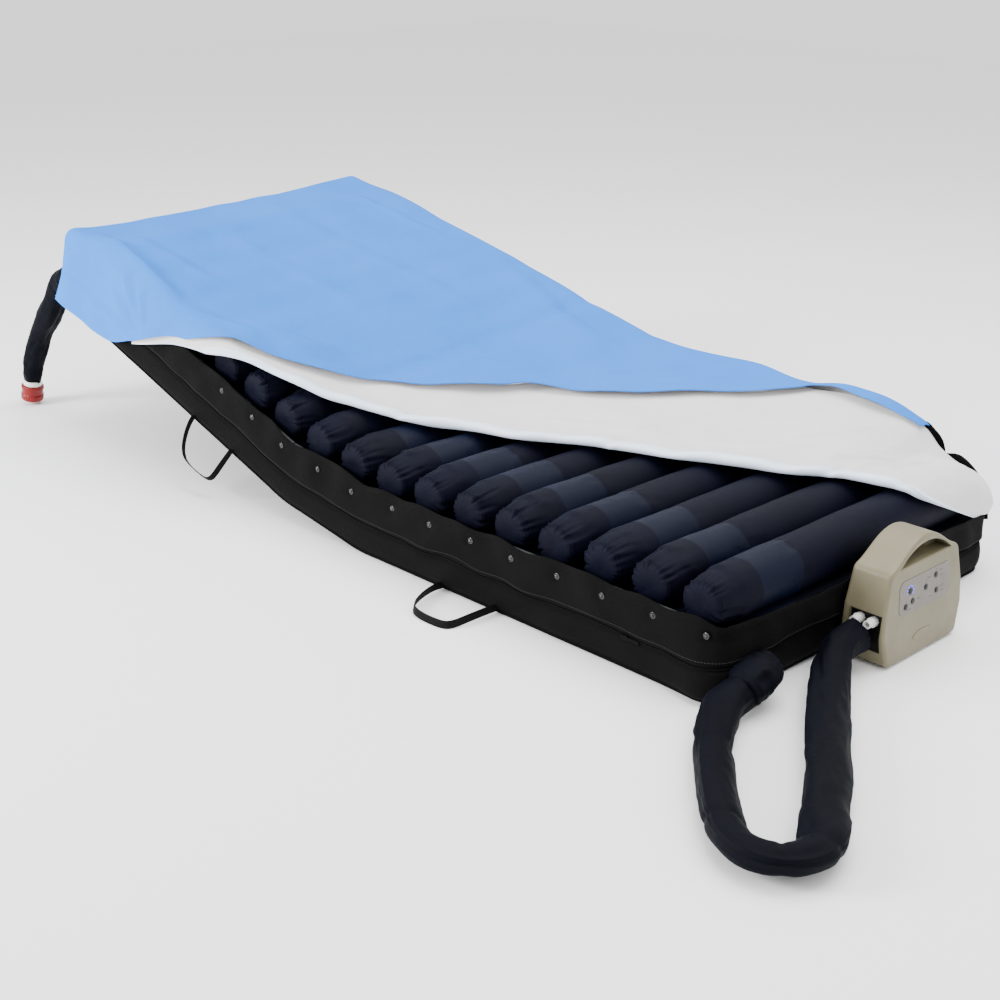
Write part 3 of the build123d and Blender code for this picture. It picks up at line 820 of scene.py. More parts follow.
@dataclass(frozen=True)
class GlowFinish:
    """A lit indicator."""

    name: str
    colour: str
    strength: float

    def make(self) -> Shading:
        """Plastic that gives light, a little uneven.

        Returns:
            The material's shading.
        """
        s = Shading(self.name)
        s.set(
            Base_Color=srgb(self.colour),
            Emission_Color=s.mix(s.noise(400.0), srgb(self.colour), srgb("5f7dff")),
            Emission_Strength=self.strength,
            Roughness=0.3,
        )
        return s


Finish = Union[ClothFinish, PlasticFinish, MetalFinish, GlowFinish]

CELL_CLOTH = CellFinish(
    "cell_nylon", "06081a", "040510", 0.6, 0.0, 0.30, 14.0, 0.2, 700.0, 0.07, patch="080d1f"
)
BASE_CLOTH = ClothFinish("base_polyester", "080808", "040404", 0.85, 0.0, 0.45, 12.0, 0.35, 800.0, 0.08)
SLEEVE_CLOTH = ClothFinish("sleeve_nylon", "04060f", "03040b", 0.66, 0.0, 0.4, 24.0, 0.2, 700.0, 0.06)
BLUE_CLOTH = ClothFinish("cover_stretch_blue", "2b7cda", "2373d0", 0.8, 0.0, 0.22, 7.0, 0.15, 900.0, 0.15)
WHITE_CLOTH = ClothFinish("cover_coating_white", "dedcdc", "d2d1d4", 0.7, 0.05, 0.3, 9.0, 0.1, 900.0, 0.25)
# Painted light: a lighter, bluish white for the rolled fold of the white cloth, standing in for how light
# falls on the roll.
FOLD_PAINTED_LIGHT = ClothFinish("cover_fold_painted_light", "e8f1ff", "d6e6fb", 0.6, 0.05, 0.3, 20.0, 0.1, 900.0, 0.3)
WEBBING = ClothFinish("webbing_polypropylene", "080809", "050505", 0.75, 0.0, 0.15, 40.0, 0.6, 500.0, 0.12)
THREAD = ClothFinish("zip_thread", "26272a", "1b1c1e", 0.6, 0.0, 0.1, 60.0, 0.2, 900.0, 0.3)
ZIP_COIL = PlasticFinish("zip_coil_nylon", "08080a", "050506", 0.8, 0.1, 900.0, 0.0, 0.08)
PUMP_SHELL = PlasticFinish("pump_abs_beige", "746e58", "69634c", 0.46, 0.16, 700.0, 0.03, 0.35)
PANEL_FILM = PlasticFinish("panel_film", "635b54", "5a534c", 0.3, 0.05, 900.0, 0.1, 0.35)
PLATE_BLACK = PlasticFinish("plate_black", "070708", "040405", 0.5, 0.12, 700.0, 0.1, 0.2)
CONNECTOR_WHITE = PlasticFinish("connector_acetal", "e9e9e6", "dcdcd8", 0.28, 0.04, 600.0, 0.3)
VALVE_RED = PlasticFinish("valve_red", "860300", "6c0200", 0.36, 0.06, 500.0, 0.1, 0.3)
BUTTON_RUBBER = PlasticFinish("button_rubber", "0c0c0e", "070708", 0.6, 0.15, 900.0, 0.1, 0.3)
FOOT_RUBBER = PlasticFinish("foot_rubber", "2c2c2c", "1c1c1c", 0.8, 0.3, 400.0)
AIR_TUBE = PlasticFinish("air_tube", "1c1d22", "141519", 0.5, 0.05, 300.0)
HOOK_NYLON = PlasticFinish("hook_nylon", "8f8873", "7f7864", 0.5, 0.15, 500.0)
BOARD_RESIN = PlasticFinish("board_resin", "1d5a33", "174a2a", 0.45, 0.1, 300.0)
PRINT_DARK = PlasticFinish("panel_print", "2c2b2e", "222124", 0.4, 0.03, 700.0, 0.1, 0.3)
STUD_METAL = MetalFinish("stud_nickel", "1d1e20", 0.14, 0.05)
SCREW_METAL = MetalFinish("screw_steel", "b0b0ac", 0.3, 0.15)
MOTOR_METAL = MetalFinish("motor_aluminium", "a8aaac", 0.4, 0.3)
LED_BLUE = GlowFinish("led_blue", "1030ff", 3.0)


@dataclass
class Wardrobe:
    """Makes each finish once and puts it on pieces."""

    made: dict[str, bpy.types.Material] = field(default_factory=dict)

    def get(self, finish: Finish) -> bpy.types.Material:
        """The material of a finish.

        Args:
            finish: the finish.

        Returns:
            Its material, made at the first call.
        """
        if finish.name not in self.made:
            self.made[finish.name] = finish.make().material
        return self.made[finish.name]

    def dress(self, piece: Piece, *finishes: Finish) -> Piece:
        """Replace a piece's materials with these finishes, one per slot.

        Args:
            piece: the object.
            finishes: in the order of its slots.

        Returns:
            The same object.
        """
        numbers = np.zeros(len(piece.data.polygons), np.int32)
        piece.data.polygons.foreach_get("material_index", numbers)
        piece.data.materials.clear()
        for finish in finishes:
            piece.data.materials.append(self.get(finish))
        numbers = np.minimum(numbers, len(finishes) - 1)
        piece.data.polygons.foreach_set("material_index", numbers)
        return piece


# ---------------- air cells
@dataclass
class AirCells:
    """Eighteen air cells, each a round chamber welded on a flat-bottomed one."""

    wardrobe: Wardrobe
    around: int = 96
    weld_at: float = 0.0118
    end_radius: float = 0.0458
    pleats: int = 20
    slack: float = 0.0004
    most_move: float = 0.006
    patch_seams: tuple[float, float] = (-0.31, -0.195)
    low_around: int = 48
    low_level: float = 0.062
    low_width: float = 0.049
    low_height: float = 0.057
    low_round: float = 0.028
    low_reach: float = 0.040

    def _stations(self) -> tuple[np.ndarray, np.ndarray]:
        """Distance from an end and radius of each ring, from the end's middle to mid-length.

        Returns:
            The distances and the radii.
        """
        weld = self.weld_at
        distance = [0.0004, 0.0010, 0.0025, 0.0050, 0.0080, weld - 0.0018, weld - 0.0006, weld + 0.0006]
        radius = [0.014, 0.026, 0.0355, 0.0410, 0.0436, 0.0440, 0.0464, 0.0464]
        distance += [weld + 0.0020, 0.0175]
        radius += [0.0442, self.end_radius]
        for reach in (0.022, 0.028, 0.035, 0.044, 0.055):
            distance.append(reach)
            fill = math.sin(0.5 * math.pi * (reach - 0.0175) / 0.0375)
            radius.append(self.end_radius + (CELL_RADIUS - self.end_radius) * fill)
        rest = np.linspace(0.066, CELL_LENGTH / 2, 34)
        return np.concatenate([distance, rest]), np.concatenate([radius, np.full(len(rest), CELL_RADIUS)])

    def bolster(self, seed: int) -> tuple[np.ndarray, np.ndarray, np.ndarray]:
        """The round upper chamber: vertices, quads and end triangles, centred on its axis.

        Args:
            seed: of its pleats and slack.

        Returns:
            The vertices, the quads and the end triangles.
        """
        distance, radius = self._stations()
        half = CELL_LENGTH / 2
        y = np.concatenate([-half + distance, (half - distance)[-2::-1]])
        r = np.concatenate([radius, radius[-2::-1]])
        reach = half - np.abs(y)
        angle = np.linspace(0, 2 * math.pi, self.around, endpoint=False)
        rng = np.random.default_rng(seed)
        pleat = np.zeros((len(y), self.around))
        for side in (-1, 1):
            near = (np.sign(y) == side).astype(float)[:, None]
            for _ in range(self.pleats):
                at = rng.uniform(0, 2 * math.pi)
                width = rng.uniform(0.055, 0.10)
                depth = rng.uniform(0.0016, 0.0046)
                length = rng.uniform(0.008, 0.034)
                turn = (angle - at + math.pi) % (2 * math.pi) - math.pi
                swell = np.exp(-((turn / width) ** 2)) - 0.5 * np.exp(-(((turn - 0.17) / width) ** 2))
                fade = np.exp(-np.maximum(reach - self.weld_at, 0) / length) * ease(reach / 0.004)
                pleat -= near * depth * swell[None, :] * fade[:, None]
        slack = Ripples(seed + 40, 0.20)(y[:, None], angle[None, :] * 0.05) * 0.0010
        slack *= ease((reach - 0.03) / 0.05)[:, None]
        tuck = bell(y, -0.19, 0.03) * 0.0018
        slack += tuck[:, None] * Ripples(seed + 80, 0.035)(y[:, None] * 0.4, angle[None, :] * 0.05)
        first, second = self.patch_seams
        edge = (bell(y, first, 0.0022) + bell(y, second, 0.0022)) * 0.0007
        full = r[:, None] + pleat + slack - edge[:, None]
        full = np.minimum(np.maximum(full, 0.004), CELL_RADIUS + self.slack)
        grid = np.stack(
            [full * np.sin(angle), np.broadcast_to(y[:, None], full.shape), full * np.cos(angle)], -1
        )
        rows, cols = full.shape
        tips = np.array([[0.0, -half + 0.0024, 0.0], [0.0, half - 0.0024, 0.0]])
        points = np.concatenate([grid.reshape(-1, 3), tips])
        return points, lattice(rows, cols, wrap=True), end_fans(rows, cols)

    def inflate(self, points: np.ndarray, quads: np.ndarray, caps: np.ndarray) -> np.ndarray:
        """Blow a chamber up as cloth whose welds are drawn in, so that it puckers beside them.

        Args:
            points: vertices of the closed chamber.
            quads: its side faces.
            caps: its end faces.

        Returns:
            The vertices after the simulation, each moved by most_move at most.
        """
        trial = build("cell_trial", points * np.array([0.965, 0.997, 0.965]), quads, caps)
        reach = CELL_LENGTH / 2 - np.abs(points[:, 1])
        weld = trial.vertex_groups.new(name="weld")
        for level, near, far in ((1.0, 0.008, 0.017), (0.5, 0.017, 0.023)):
            weld.add([int(i) for i in np.nonzero((reach > near) & (reach <= far))[0]], level, "REPLACE")
        cloth = trial.modifiers.new("inflate", "CLOTH")
        settings = cloth.settings
        settings.quality = 6
        settings.mass = 0.15
        settings.tension_stiffness = settings.compression_stiffness = 18
        settings.shear_stiffness = 6
        settings.bending_stiffness = 0.12
        settings.use_pressure = True
        settings.uniform_pressure_force = 5.0
        settings.vertex_group_shrink = "weld"
        settings.shrink_max = 0.16
        settings.effector_weights.gravity = 0.0
        cloth.point_cache.frame_end = 20
        scene = bpy.context.scene
        for frame in range(1, 21):
            scene.frame_set(frame)
        blown = trial.evaluated_get(bpy.context.evaluated_depsgraph_get()).data
        out = np.empty(len(points) * 3)
        blown.vertices.foreach_get("co", out)
        out = out.reshape(-1, 3)
        scene.frame_set(1)
        bpy.data.objects.remove(trial)
        move = out - points
        if not np.isfinite(move).all():
            log.warning("the cloth of a cell ran away, so it keeps its drawn shape")
            return points
        move -= move.mean(axis=0)
        size = np.linalg.norm(move, axis=1, keepdims=True)
        move *= np.minimum(1.0, self.most_move / np.maximum(size, 1e-9))
        log.info("cell inflated, largest move %.1f mm", size.max() * 1000)
        out = points + move
        radial = np.hypot(out[:, 0], out[:, 2])
        keep = np.minimum(1.0, (CELL_RADIUS + self.slack) / np.maximum(radial, 1e-9))
        out[:, 0] *= keep
        out[:, 2] *= keep
        out[:, 1] = np.clip(out[:, 1], -CELL_LENGTH / 2 - 0.002, CELL_LENGTH / 2 + 0.002)
        return out

    def lower_chamber(self) -> tuple[np.ndarray, np.ndarray, np.ndarray]:
        """The flat-bottomed lower chamber, a box with every edge rounded, about x = 0.

        Returns:
            The vertices, the quads and the end triangles.
        """
        around = self.low_around
        angle = np.linspace(0, 2 * math.pi, around, endpoint=False)
        c, s = np.cos(angle), np.sin(angle)
        wide = np.sign(c) * np.abs(c) ** 0.45
        tall = np.sign(s) * np.abs(s) ** 0.45
        half = CELL_LENGTH / 2 - 0.002
        reach = np.array([0.0, 0.001, 0.004, 0.010, 0.018, 0.028, 0.040, 0.10, 0.2, 0.3])
        y = np.concatenate([-half + reach, (half - reach)[::-1]])
        depth = np.minimum(half - np.abs(y), self.low_reach)
        inset = self.low_round * (1 - np.sqrt(1 - (1 - depth / self.low_reach) ** 2))
        x = (self.low_width - inset)[:, None] * wide[None, :]
        z = self.low_level + (self.low_height - inset)[:, None] * tall[None, :]
        rings = np.stack([x, np.broadcast_to(y[:, None], x.shape), z], -1)
        tips = np.array([[0.0, y[0], self.low_level], [0.0, y[-1], self.low_level]])
        points = np.concatenate([rings.reshape(-1, 3), tips])
        quads = lattice(len(y), around, wrap=True)[:, ::-1]
        return points, quads, end_fans(len(y), around)[:, [0, 2, 1]]

    def make(self) -> None:
        """Build the eighteen cells from three blown shapes, turned and mirrored."""
        shapes = []
        for seed in (3, 11, 23):
            points, quads, caps = self.bolster(seed)
            points = self.inflate(points, quads, caps)
            shapes.append((points, quads, caps))
        low_points, low_quads, low_caps = self.lower_chamber()
        for number in range(1, CELL_COUNT + 1):
            points, quads, caps = shapes[number % 3]
            points, quads, caps = points.copy(), quads, caps
            if number % 2:
                points[:, 0] *= -1
                quads, caps = quads[:, ::-1], caps[:, ::-1]
            points[:, 2] += PIVOT_Z
            everything = np.concatenate([points, low_points])
            everything[:, 0] += cell_x(number)
            height = np.clip((everything[:, 2] - 0.110) / 0.106, 0, 1)
            everything[:, 2] -= corner_sag(everything[:, 0], everything[:, 1]) * height
            section = cell_section(number)
            piece = build(
                f"cell_skin_{number:02d}",
                Lie.carry(everything, section),
                np.concatenate([quads, low_quads + len(points)]),
                np.concatenate([caps, low_caps + len(points)]),
            )
            face_out(piece)
            self.wardrobe.dress(piece, CELL_CLOTH)
            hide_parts(f"air_cell_{number:02d}")
            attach(piece, section.value)


# ---------------- base cover
@dataclass
class BaseCover:
    """The black tray: bottom panel, walls with a zip, studs, edge piping and webbing handles."""

    wardrobe: Wardrobe
    corner: float = 0.048
    step: float = 0.006
    fold_level: float = 0.022
    zip_level: float = 0.063
    rim_level: float = 0.152
    stud_level: float = 0.122
    stud_shift: float = 0.030
    last_stud_x: float = -0.945
    stud_profile: Curve = (
        (0, 0), (0, 0.0062), (0.0008, 0.0066), (0.0018, 0.0062), (0.0020, 0.0050), (0.0016, 0.0042),
        (0.0022, 0.0040), (0.0034, 0.0033), (0.0041, 0.0020), (0.0044, 0.0008), (0.0044, 0),
    )
    webbing_thick: float = 0.0011
    webbing_wide: float = 0.0078
    loop_reach: float = 0.096
    loop_points: Curve = (
        (-0.072, 0.0), (-0.0735, 0.012), (-0.073, 0.03), (-0.066, 0.07), (-0.045, 0.091), (-0.01, 0.0945),
        (0.03, 0.0935), (0.058, 0.088), (0.070, 0.068), (0.0735, 0.03), (0.0735, 0.012), (0.072, 0.0),
    )

    def __post_init__(self) -> None:
        """Draw the unevenness of the cloth."""
        self.sag = Ripples(5, 0.30)
        self.flap = Ripples(9, 0.15)
        self.belly = Ripples(17, 0.22)

    def path(self, side: Half) -> tuple[np.ndarray, np.ndarray, np.ndarray]:
        """Plan of half of the wall: places, outward directions and distance along it.

        Args:
            side: which half, each from the near side round its end to the far side.

        Returns:
            (n, 2) places, (n, 2) outward unit directions, (n,) distances.
        """
        sign = 1.0 if side is Half.FOOT else -1.0
        end = FOOT_X if side is Half.FOOT else -HEAD_X
        r = self.corner
        run = end - r - SPLIT_X * sign
        pieces = []

        def straight(start: Sequence[float], way: tuple[int, int], steps: np.ndarray) -> None:
            """Add a straight run with the outside on its right."""
            out = np.tile([way[1], -way[0]], (len(steps), 1))
            pieces.append((np.array(start) + steps[:, None] * np.array(way), out))

        def quarter(middle: Sequence[float], first: float) -> None:
            """Add a quarter turn about a middle."""
            turn = np.linspace(first, first + math.pi / 2, 14, endpoint=False)
            out = np.stack([np.cos(turn), np.sin(turn)], 1)
            pieces.append((np.array(middle) + r * out, out))

        straight([SPLIT_X * sign, -HALF_WIDTH], (1, 0), np.arange(0, run, self.step))
        quarter([end - r, -HALF_WIDTH + r], -math.pi / 2)
        straight([end, 0.0], (0, 1), np.arange(-HALF_WIDTH + r, HALF_WIDTH - r, self.step))
        quarter([end - r, HALF_WIDTH - r], 0.0)
        straight([end - r, HALF_WIDTH], (-1, 0), np.append(np.arange(0, run, self.step), run))
        places = np.concatenate([p for p, _ in pieces])
        outward = np.concatenate([o for _, o in pieces])
        places[:, 0] *= sign
        outward[:, 0] *= sign
        along = np.concatenate([[0], np.cumsum(np.linalg.norm(np.diff(places, axis=0), axis=1))])
        return places, outward, along

    def zip_height(self, place: np.ndarray) -> np.ndarray:
        """Level of the zip, which wanders as the cloth hangs.

        Args:
            place: (..., 2) places in plan.

        Returns:
            The levels.
        """
        x, y = place[..., 0], place[..., 1]
        wander = 0.55 * self.sag(x, y) + 0.45 * self.flap(x, y * 0.7)
        return self.zip_level + 0.006 * wander

    def bulge(self, place: np.ndarray, z: np.ndarray) -> np.ndarray:
        """How far the cloth of the wall stands out from the wall's plane.

        Args:
            place: (..., 2) places in plan.
            z: heights there.

        Returns:
            The distances, outwards.
        """
        x, y = place[..., 0], place[..., 1]
        side = np.abs(y) > HALF_WIDTH - 0.01
        zip_z = self.zip_height(place)
        below = np.clip(z / zip_z, 0, 1)
        above = np.clip((z - zip_z) / (0.160 - zip_z), 0, 1)
        out = 0.0045 * np.sin(math.pi * below) * (1 + 0.5 * self.belly(x, y))
        out = out + 0.0022 * self.belly(x * 1.7, z * 2 + y) * below
        lip = ease((z - zip_z - 0.005) / 0.004)
        wave = self.flap(x * 1.3, y * 1.3 + z * 0.6)
        out = out + lip * (0.0042 - 0.0030 * above + 0.0032 * wave * np.sin(math.pi * (0.15 + 0.85 * above)))
        out = out - 0.0028 * np.exp(-(((z - zip_z) / 0.0035) ** 2))
        drape = np.cos(2 * math.pi * (x - 0.385) / CELL_PITCH)
        out = out + above**2 * np.where(side, 0.0030 * drape - 0.0025, -0.002)
        dimple = np.zeros(np.shape(out))
        for number in range(1, CELL_COUNT + 1):
            if cell_x(number) > self.last_stud_x:
                far = np.hypot(x - cell_x(number) - self.stud_shift, z - self.stud_level)
                dimple = dimple + np.exp(-((far / 0.011) ** 2))
        out = out - np.where(y < -HALF_WIDTH + 0.01, 0.0034 * dimple, 0.0)
        corner = np.hypot(x - FOOT_X, y + HALF_WIDTH)
        out = out + 0.020 * np.exp(-((corner / 0.075) ** 2)) * np.clip(1 - z / 0.11, 0, 1) ** 0.7
        middle = np.cos(np.clip(y / HALF_WIDTH, -1, 1) * math.pi / 2) ** 2
        full = 0.015 * middle * np.sin(math.pi * np.clip(z / 0.2, 0, 1)) ** 0.5
        out = out + np.where(x > FOOT_X - 0.002, full, 0.0)
        covered = (y > HALF_WIDTH - 0.01) | (x < -1.16)
        out = np.where(covered & (z > 0.05), np.minimum(out, 0.001), out)
        out = np.where(x < HEAD_X + 0.03, np.minimum(out, 0.0), out)
        tuck_in = np.clip(1 - z / 0.022, 0, 1) ** 2
        return out * (1 - tuck_in) - 0.007 * tuck_in

    def rim_height(self, place: np.ndarray) -> np.ndarray:
        """Level of the top hem, which dips between the cell ends.

        Args:
            place: (..., 2) places in plan.

        Returns:
            The levels.
        """
        x, y = place[..., 0], place[..., 1]
        side = np.abs(y) > HALF_WIDTH - 0.03
        drape = np.cos(2 * math.pi * (x - 0.385) / CELL_PITCH)
        low = 0.004 * ease((x - 0.15) / 0.2) + 0.013 * ease((x - FOOT_X + 0.05) / 0.048)
        corner = np.hypot(x - FOOT_X, y - HALF_WIDTH)
        low = low + 0.016 * np.exp(-((corner / 0.09) ** 2))
        hang = np.where(side, 0.0030 * drape, 0.0)
        return self.rim_level - low + 0.0040 * self.sag(x * 1.5, y * 1.5) + hang

    def on_wall(self, place: np.ndarray, outward: np.ndarray, z: np.ndarray, lift: float = 0.0) -> np.ndarray:
        """Points on the wall's cloth in the flat lie.

        Args:
            place: (..., 2) places in plan.
            outward: (..., 2) unit directions.
            z: heights.
            lift: distance off the cloth.

        Returns:
            (..., 3) places.
        """
        out = self.bulge(place, z) + lift
        flat = place + outward * out[..., None]
        return np.concatenate([flat, z[..., None]], -1)

    def wall(self, side: Half) -> Piece:
        """Half of the wall, cloth with a hemmed top edge that turns in.

        Args:
            side: which half.

        Returns:
            The object.
        """
        places, outward, _ = self.path(side)
        fold = self.fold_level
        levels = np.concatenate([np.linspace(0.0, fold, 6), np.linspace(0.027, 1.0, 40)])
        rim = self.rim_height(places)
        rise = fold + (levels - fold)[None, :] * (rim[:, None] - fold) / 0.978
        height = np.where(levels[None, :] > fold, rise, levels[None, :])
        grid = self.on_wall(
            np.repeat(places[:, None], len(levels), 1), np.repeat(outward[:, None], len(levels), 1), height
        )
        hem = height[:, -1:] - height
        grid[..., :2] += outward[:, None] * (0.0012 * np.exp(-((hem[..., None] - 0.006) / 0.006) ** 2))
        if side is Half.HEAD:
            grid = grid[::-1]
        piece = cloth_sheet(f"base_wall_{side.value}", Lie.carry(grid), 0.0032)
        face_out(piece)
        return piece

    def panel(self, side: Half) -> Piece:
        """Half of the bottom panel, which follows the bends.

        Args:
            side: which half.

        Returns:
            The object.
        """
        end = FOOT_X - 0.006 if side is Half.FOOT else HEAD_X + 0.006
        x = np.linspace(SPLIT_X, end, 110)
        half = HALF_WIDTH - 0.006
        into = np.clip(1 - np.abs(end - x) / self.corner, 0, 1)
        width = half - self.corner * (1 - np.sqrt(1 - into**2))
        y = np.linspace(-1, 1, 60)
        gx, gy = np.broadcast_arrays(x[:, None], width[:, None] * y[None, :])
        quilt = 0.0006 * Ripples(31, 0.25)(gx, gy)
        grid = np.stack([gx, gy, 0.0052 + quilt], -1)
        if side is Half.HEAD:
            grid = grid[::-1]
        piece = cloth_sheet(f"base_panel_{side.value}", Lie.carry(grid), 0.0045)
        face_out(piece)
        return piece

    def along_wall(
        self,
        name: str,
        side: Half,
        level: Callable[[np.ndarray], np.ndarray],
        radius: float,
        pitch: float,
        lift: float,
        dip: float,
    ) -> Piece:
        """Thin cord along the wall, such as a zip's coil, a row of stitches or piping.

        Args:
            name: object name without its half.
            side: which half.
            level: height as a function of the place in plan.
            radius: of the cord.
            pitch: length of one tooth or stitch, or 0 for a plain cord.
            lift: how far its middle stands out of the cloth.
            dip: how far it sinks between stitches, or swells at teeth if negative.

        Returns:
            The object.
        """
        places, outward, along = self.path(side)
        step = pitch / 4 if pitch else 0.004
        s = np.arange(0, along[-1], step)
        place = np.stack([np.interp(s, along, places[:, k]) for k in (0, 1)], 1)
        out = np.stack([np.interp(s, along, outward[:, k]) for k in (0, 1)], 1)
        out /= np.linalg.norm(out, axis=1, keepdims=True)
        beat = 0.5 - 0.5 * np.cos(2 * math.pi * s / pitch) if pitch else np.zeros(len(s))
        z = level(place)
        flat = self.on_wall(place, out, z)
        sink = dip * beat if dip > 0 else 0.0
        flat[:, :2] += out * (lift - sink)[:, None] if np.ndim(sink) else out * lift
        swell = 1 + (0.45 * beat if dip < 0 else 0.0)
        angle = np.linspace(0, 2 * math.pi, 8, endpoint=False)
        section = radius * np.stack([np.cos(angle), np.sin(angle)], 1)
        offsets = section[None] * np.broadcast_to(swell, len(s))[:, None, None]
        return tube(f"{name}_{side.value}", Lie.carry(flat), offsets)

    def studs(self) -> None:
        """Press studs, each a rolled ring with a domed cap."""
        for section, node in ((Section.FOOT, "foot"), (Section.FLEX, "flex"), (Section.HEAD, "head")):
            made = []
            for number in range(1, CELL_COUNT + 1):
                if cell_section(number) is not section or cell_x(number) < self.last_stud_x:
                    continue
                place = np.array([[cell_x(number) + self.stud_shift, -HALF_WIDTH]])
                spot = self.on_wall(place, np.array([[0.0, -1.0]]), np.array([self.stud_level]))
                foot, tip = Lie.carry(np.array([spot[0], spot[0] + [0, -1, 0]]), section)
                made.append(lathe("stud", tuple(foot), tuple(tip - foot), self.stud_profile, 28))
            piece = join(f"studs_{node}", made)
            self.wardrobe.dress(piece, STUD_METAL)
            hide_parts(f"press_studs_{node}")
            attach(piece, section.value)

    def handle(self, node: str, x: float, side: int, reach: float, droop: float, section: Section) -> None:
        """A webbing loop on edge, swung down by droop about the line where it is sewn on.

        Args:
            node: its name in the CAD.
            x: middle of the loop in the flat lie.
            side: -1 for the near side, 1 for the far side.
            reach: how far it stands out.
            droop: its swing downwards, in degrees.
            section: the section that holds it.
        """
        controls = np.array(self.loop_points)
        t = np.linspace(0, 1, len(controls))
        fine = np.linspace(0, 1, 140)
        plan = np.stack([track(list(zip(t, controls[:, k])))(fine) for k in (0, 1)], 1)
        for _ in range(24):
            plan[1:-1] = (plan[:-2] + 2 * plan[1:-1] + plan[2:]) / 4
        plan[:, 1] *= reach / self.loop_reach
        plan[:, 0] = plan[:, 0] * (1 - 0.18 * plan[:, 1] / reach) + 0.018 * (plan[:, 1] / reach) ** 2
        lift = 0.009 + 0.0015 * np.sin(fine * 9.0 + x)
        start = HALF_WIDTH + 0.0003
        line = np.stack([x + plan[:, 0], side * (start + plan[:, 1]), lift], 1)
        lean = 0.25 * np.sin(fine * math.pi)
        angle = np.linspace(0, 2 * math.pi, 20, endpoint=False)
        flat = np.sign(np.cos(angle)) * np.abs(np.cos(angle)) ** 0.5 * self.webbing_thick
        wide = np.sign(np.sin(angle)) * np.abs(np.sin(angle)) ** 0.35 * self.webbing_wide
        c, s = np.cos(lean)[:, None], np.sin(lean)[:, None]
        offsets = np.stack([flat * c - wide * s, flat * s + wide * c], -1)
        piece = tube(f"webbing_{node[7:]}", line, offsets)
        hinge = Vector((x, side * (start + 0.008), 0.009))
        swing = Matrix.Rotation(math.radians(-side * droop), 4, "X")
        piece.data.transform(Matrix.Translation(hinge) @ swing @ Matrix.Translation(-hinge))
        points = np.empty(len(piece.data.vertices) * 3)
        piece.data.vertices.foreach_get("co", points)
        piece.data.vertices.foreach_set("co", Lie.carry(points.reshape(-1, 3), section).ravel())
        piece.data.update()
        self.wardrobe.dress(piece, WEBBING)
        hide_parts(node)
        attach(piece, node)

    def make(self) -> None:
        """Build the tray and what is sewn on it."""
        zip_z, rim = self.zip_height, self.rim_height
        for side in Half:
            half = side.value
            wall = self.wardrobe.dress(self.wall(side), BASE_CLOTH, BASE_CLOTH)
            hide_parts(f"base_cover_{half}")
            panel = self.wardrobe.dress(self.panel(side), BASE_CLOTH, BASE_CLOTH)
            if side is Half.FOOT:
                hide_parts("base_cover_flex")
            made = [wall, panel]
            for name, level, radius, pitch, lift, dip, finish in (
                ("zip_coil", zip_z, 0.0017, 0.0030, 0.0014, -1, ZIP_COIL),
                ("zip_stitch_upper", lambda p: zip_z(p) + 0.0125, 0.0006, 0.0050, 0.0004, 0.0016, THREAD),
                ("zip_stitch_lower", lambda p: zip_z(p) - 0.0075, 0.0005, 0.0050, 0.0003, 0.0016, BASE_CLOTH),
                ("hem_stitch", lambda p: rim(p) - 0.014, 0.0005, 0.0050, 0.0004, 0.0016, BASE_CLOTH),
                ("base_piping", lambda p: 0.004 + 0 * p[:, 0], 0.0028, 0, 0.001, 0, BASE_CLOTH),
            ):
                cord = self.along_wall(name, side, level, radius, pitch, lift, dip)
                made.append(self.wardrobe.dress(cord, finish))
            for piece in made:
                pin(piece, side)
        self.studs()
        for node, x, side, reach, droop, section in (
            ("handle_near_foot", -0.134, -1, 0.126, 0.0, Section.FOOT),
            ("handle_far_foot", -0.134, 1, 0.126, 0.0, Section.FOOT),
            ("handle_near_head", -0.902, -1, 0.092, 58.0, Section.HEAD),
            ("handle_far_head", -0.902, 1, 0.092, 58.0, Section.HEAD),
        ):
            self.handle(node, x, side, reach, droop, section)


def pin(piece: Piece, side: Half) -> None:
    """Let cloth of one half follow the two sections that it crosses.

    Args:
        piece: the cloth.
        side: which half it is.
    """
    if side is Half.FOOT:
        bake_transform(piece, Section.FOOT.value, Section.FLEX.value, *Lie.span(FIRST_BEND_X))
    else:
        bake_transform(piece, Section.FLEX.value, Section.HEAD.value, *Lie.span(SECOND_BEND_X))


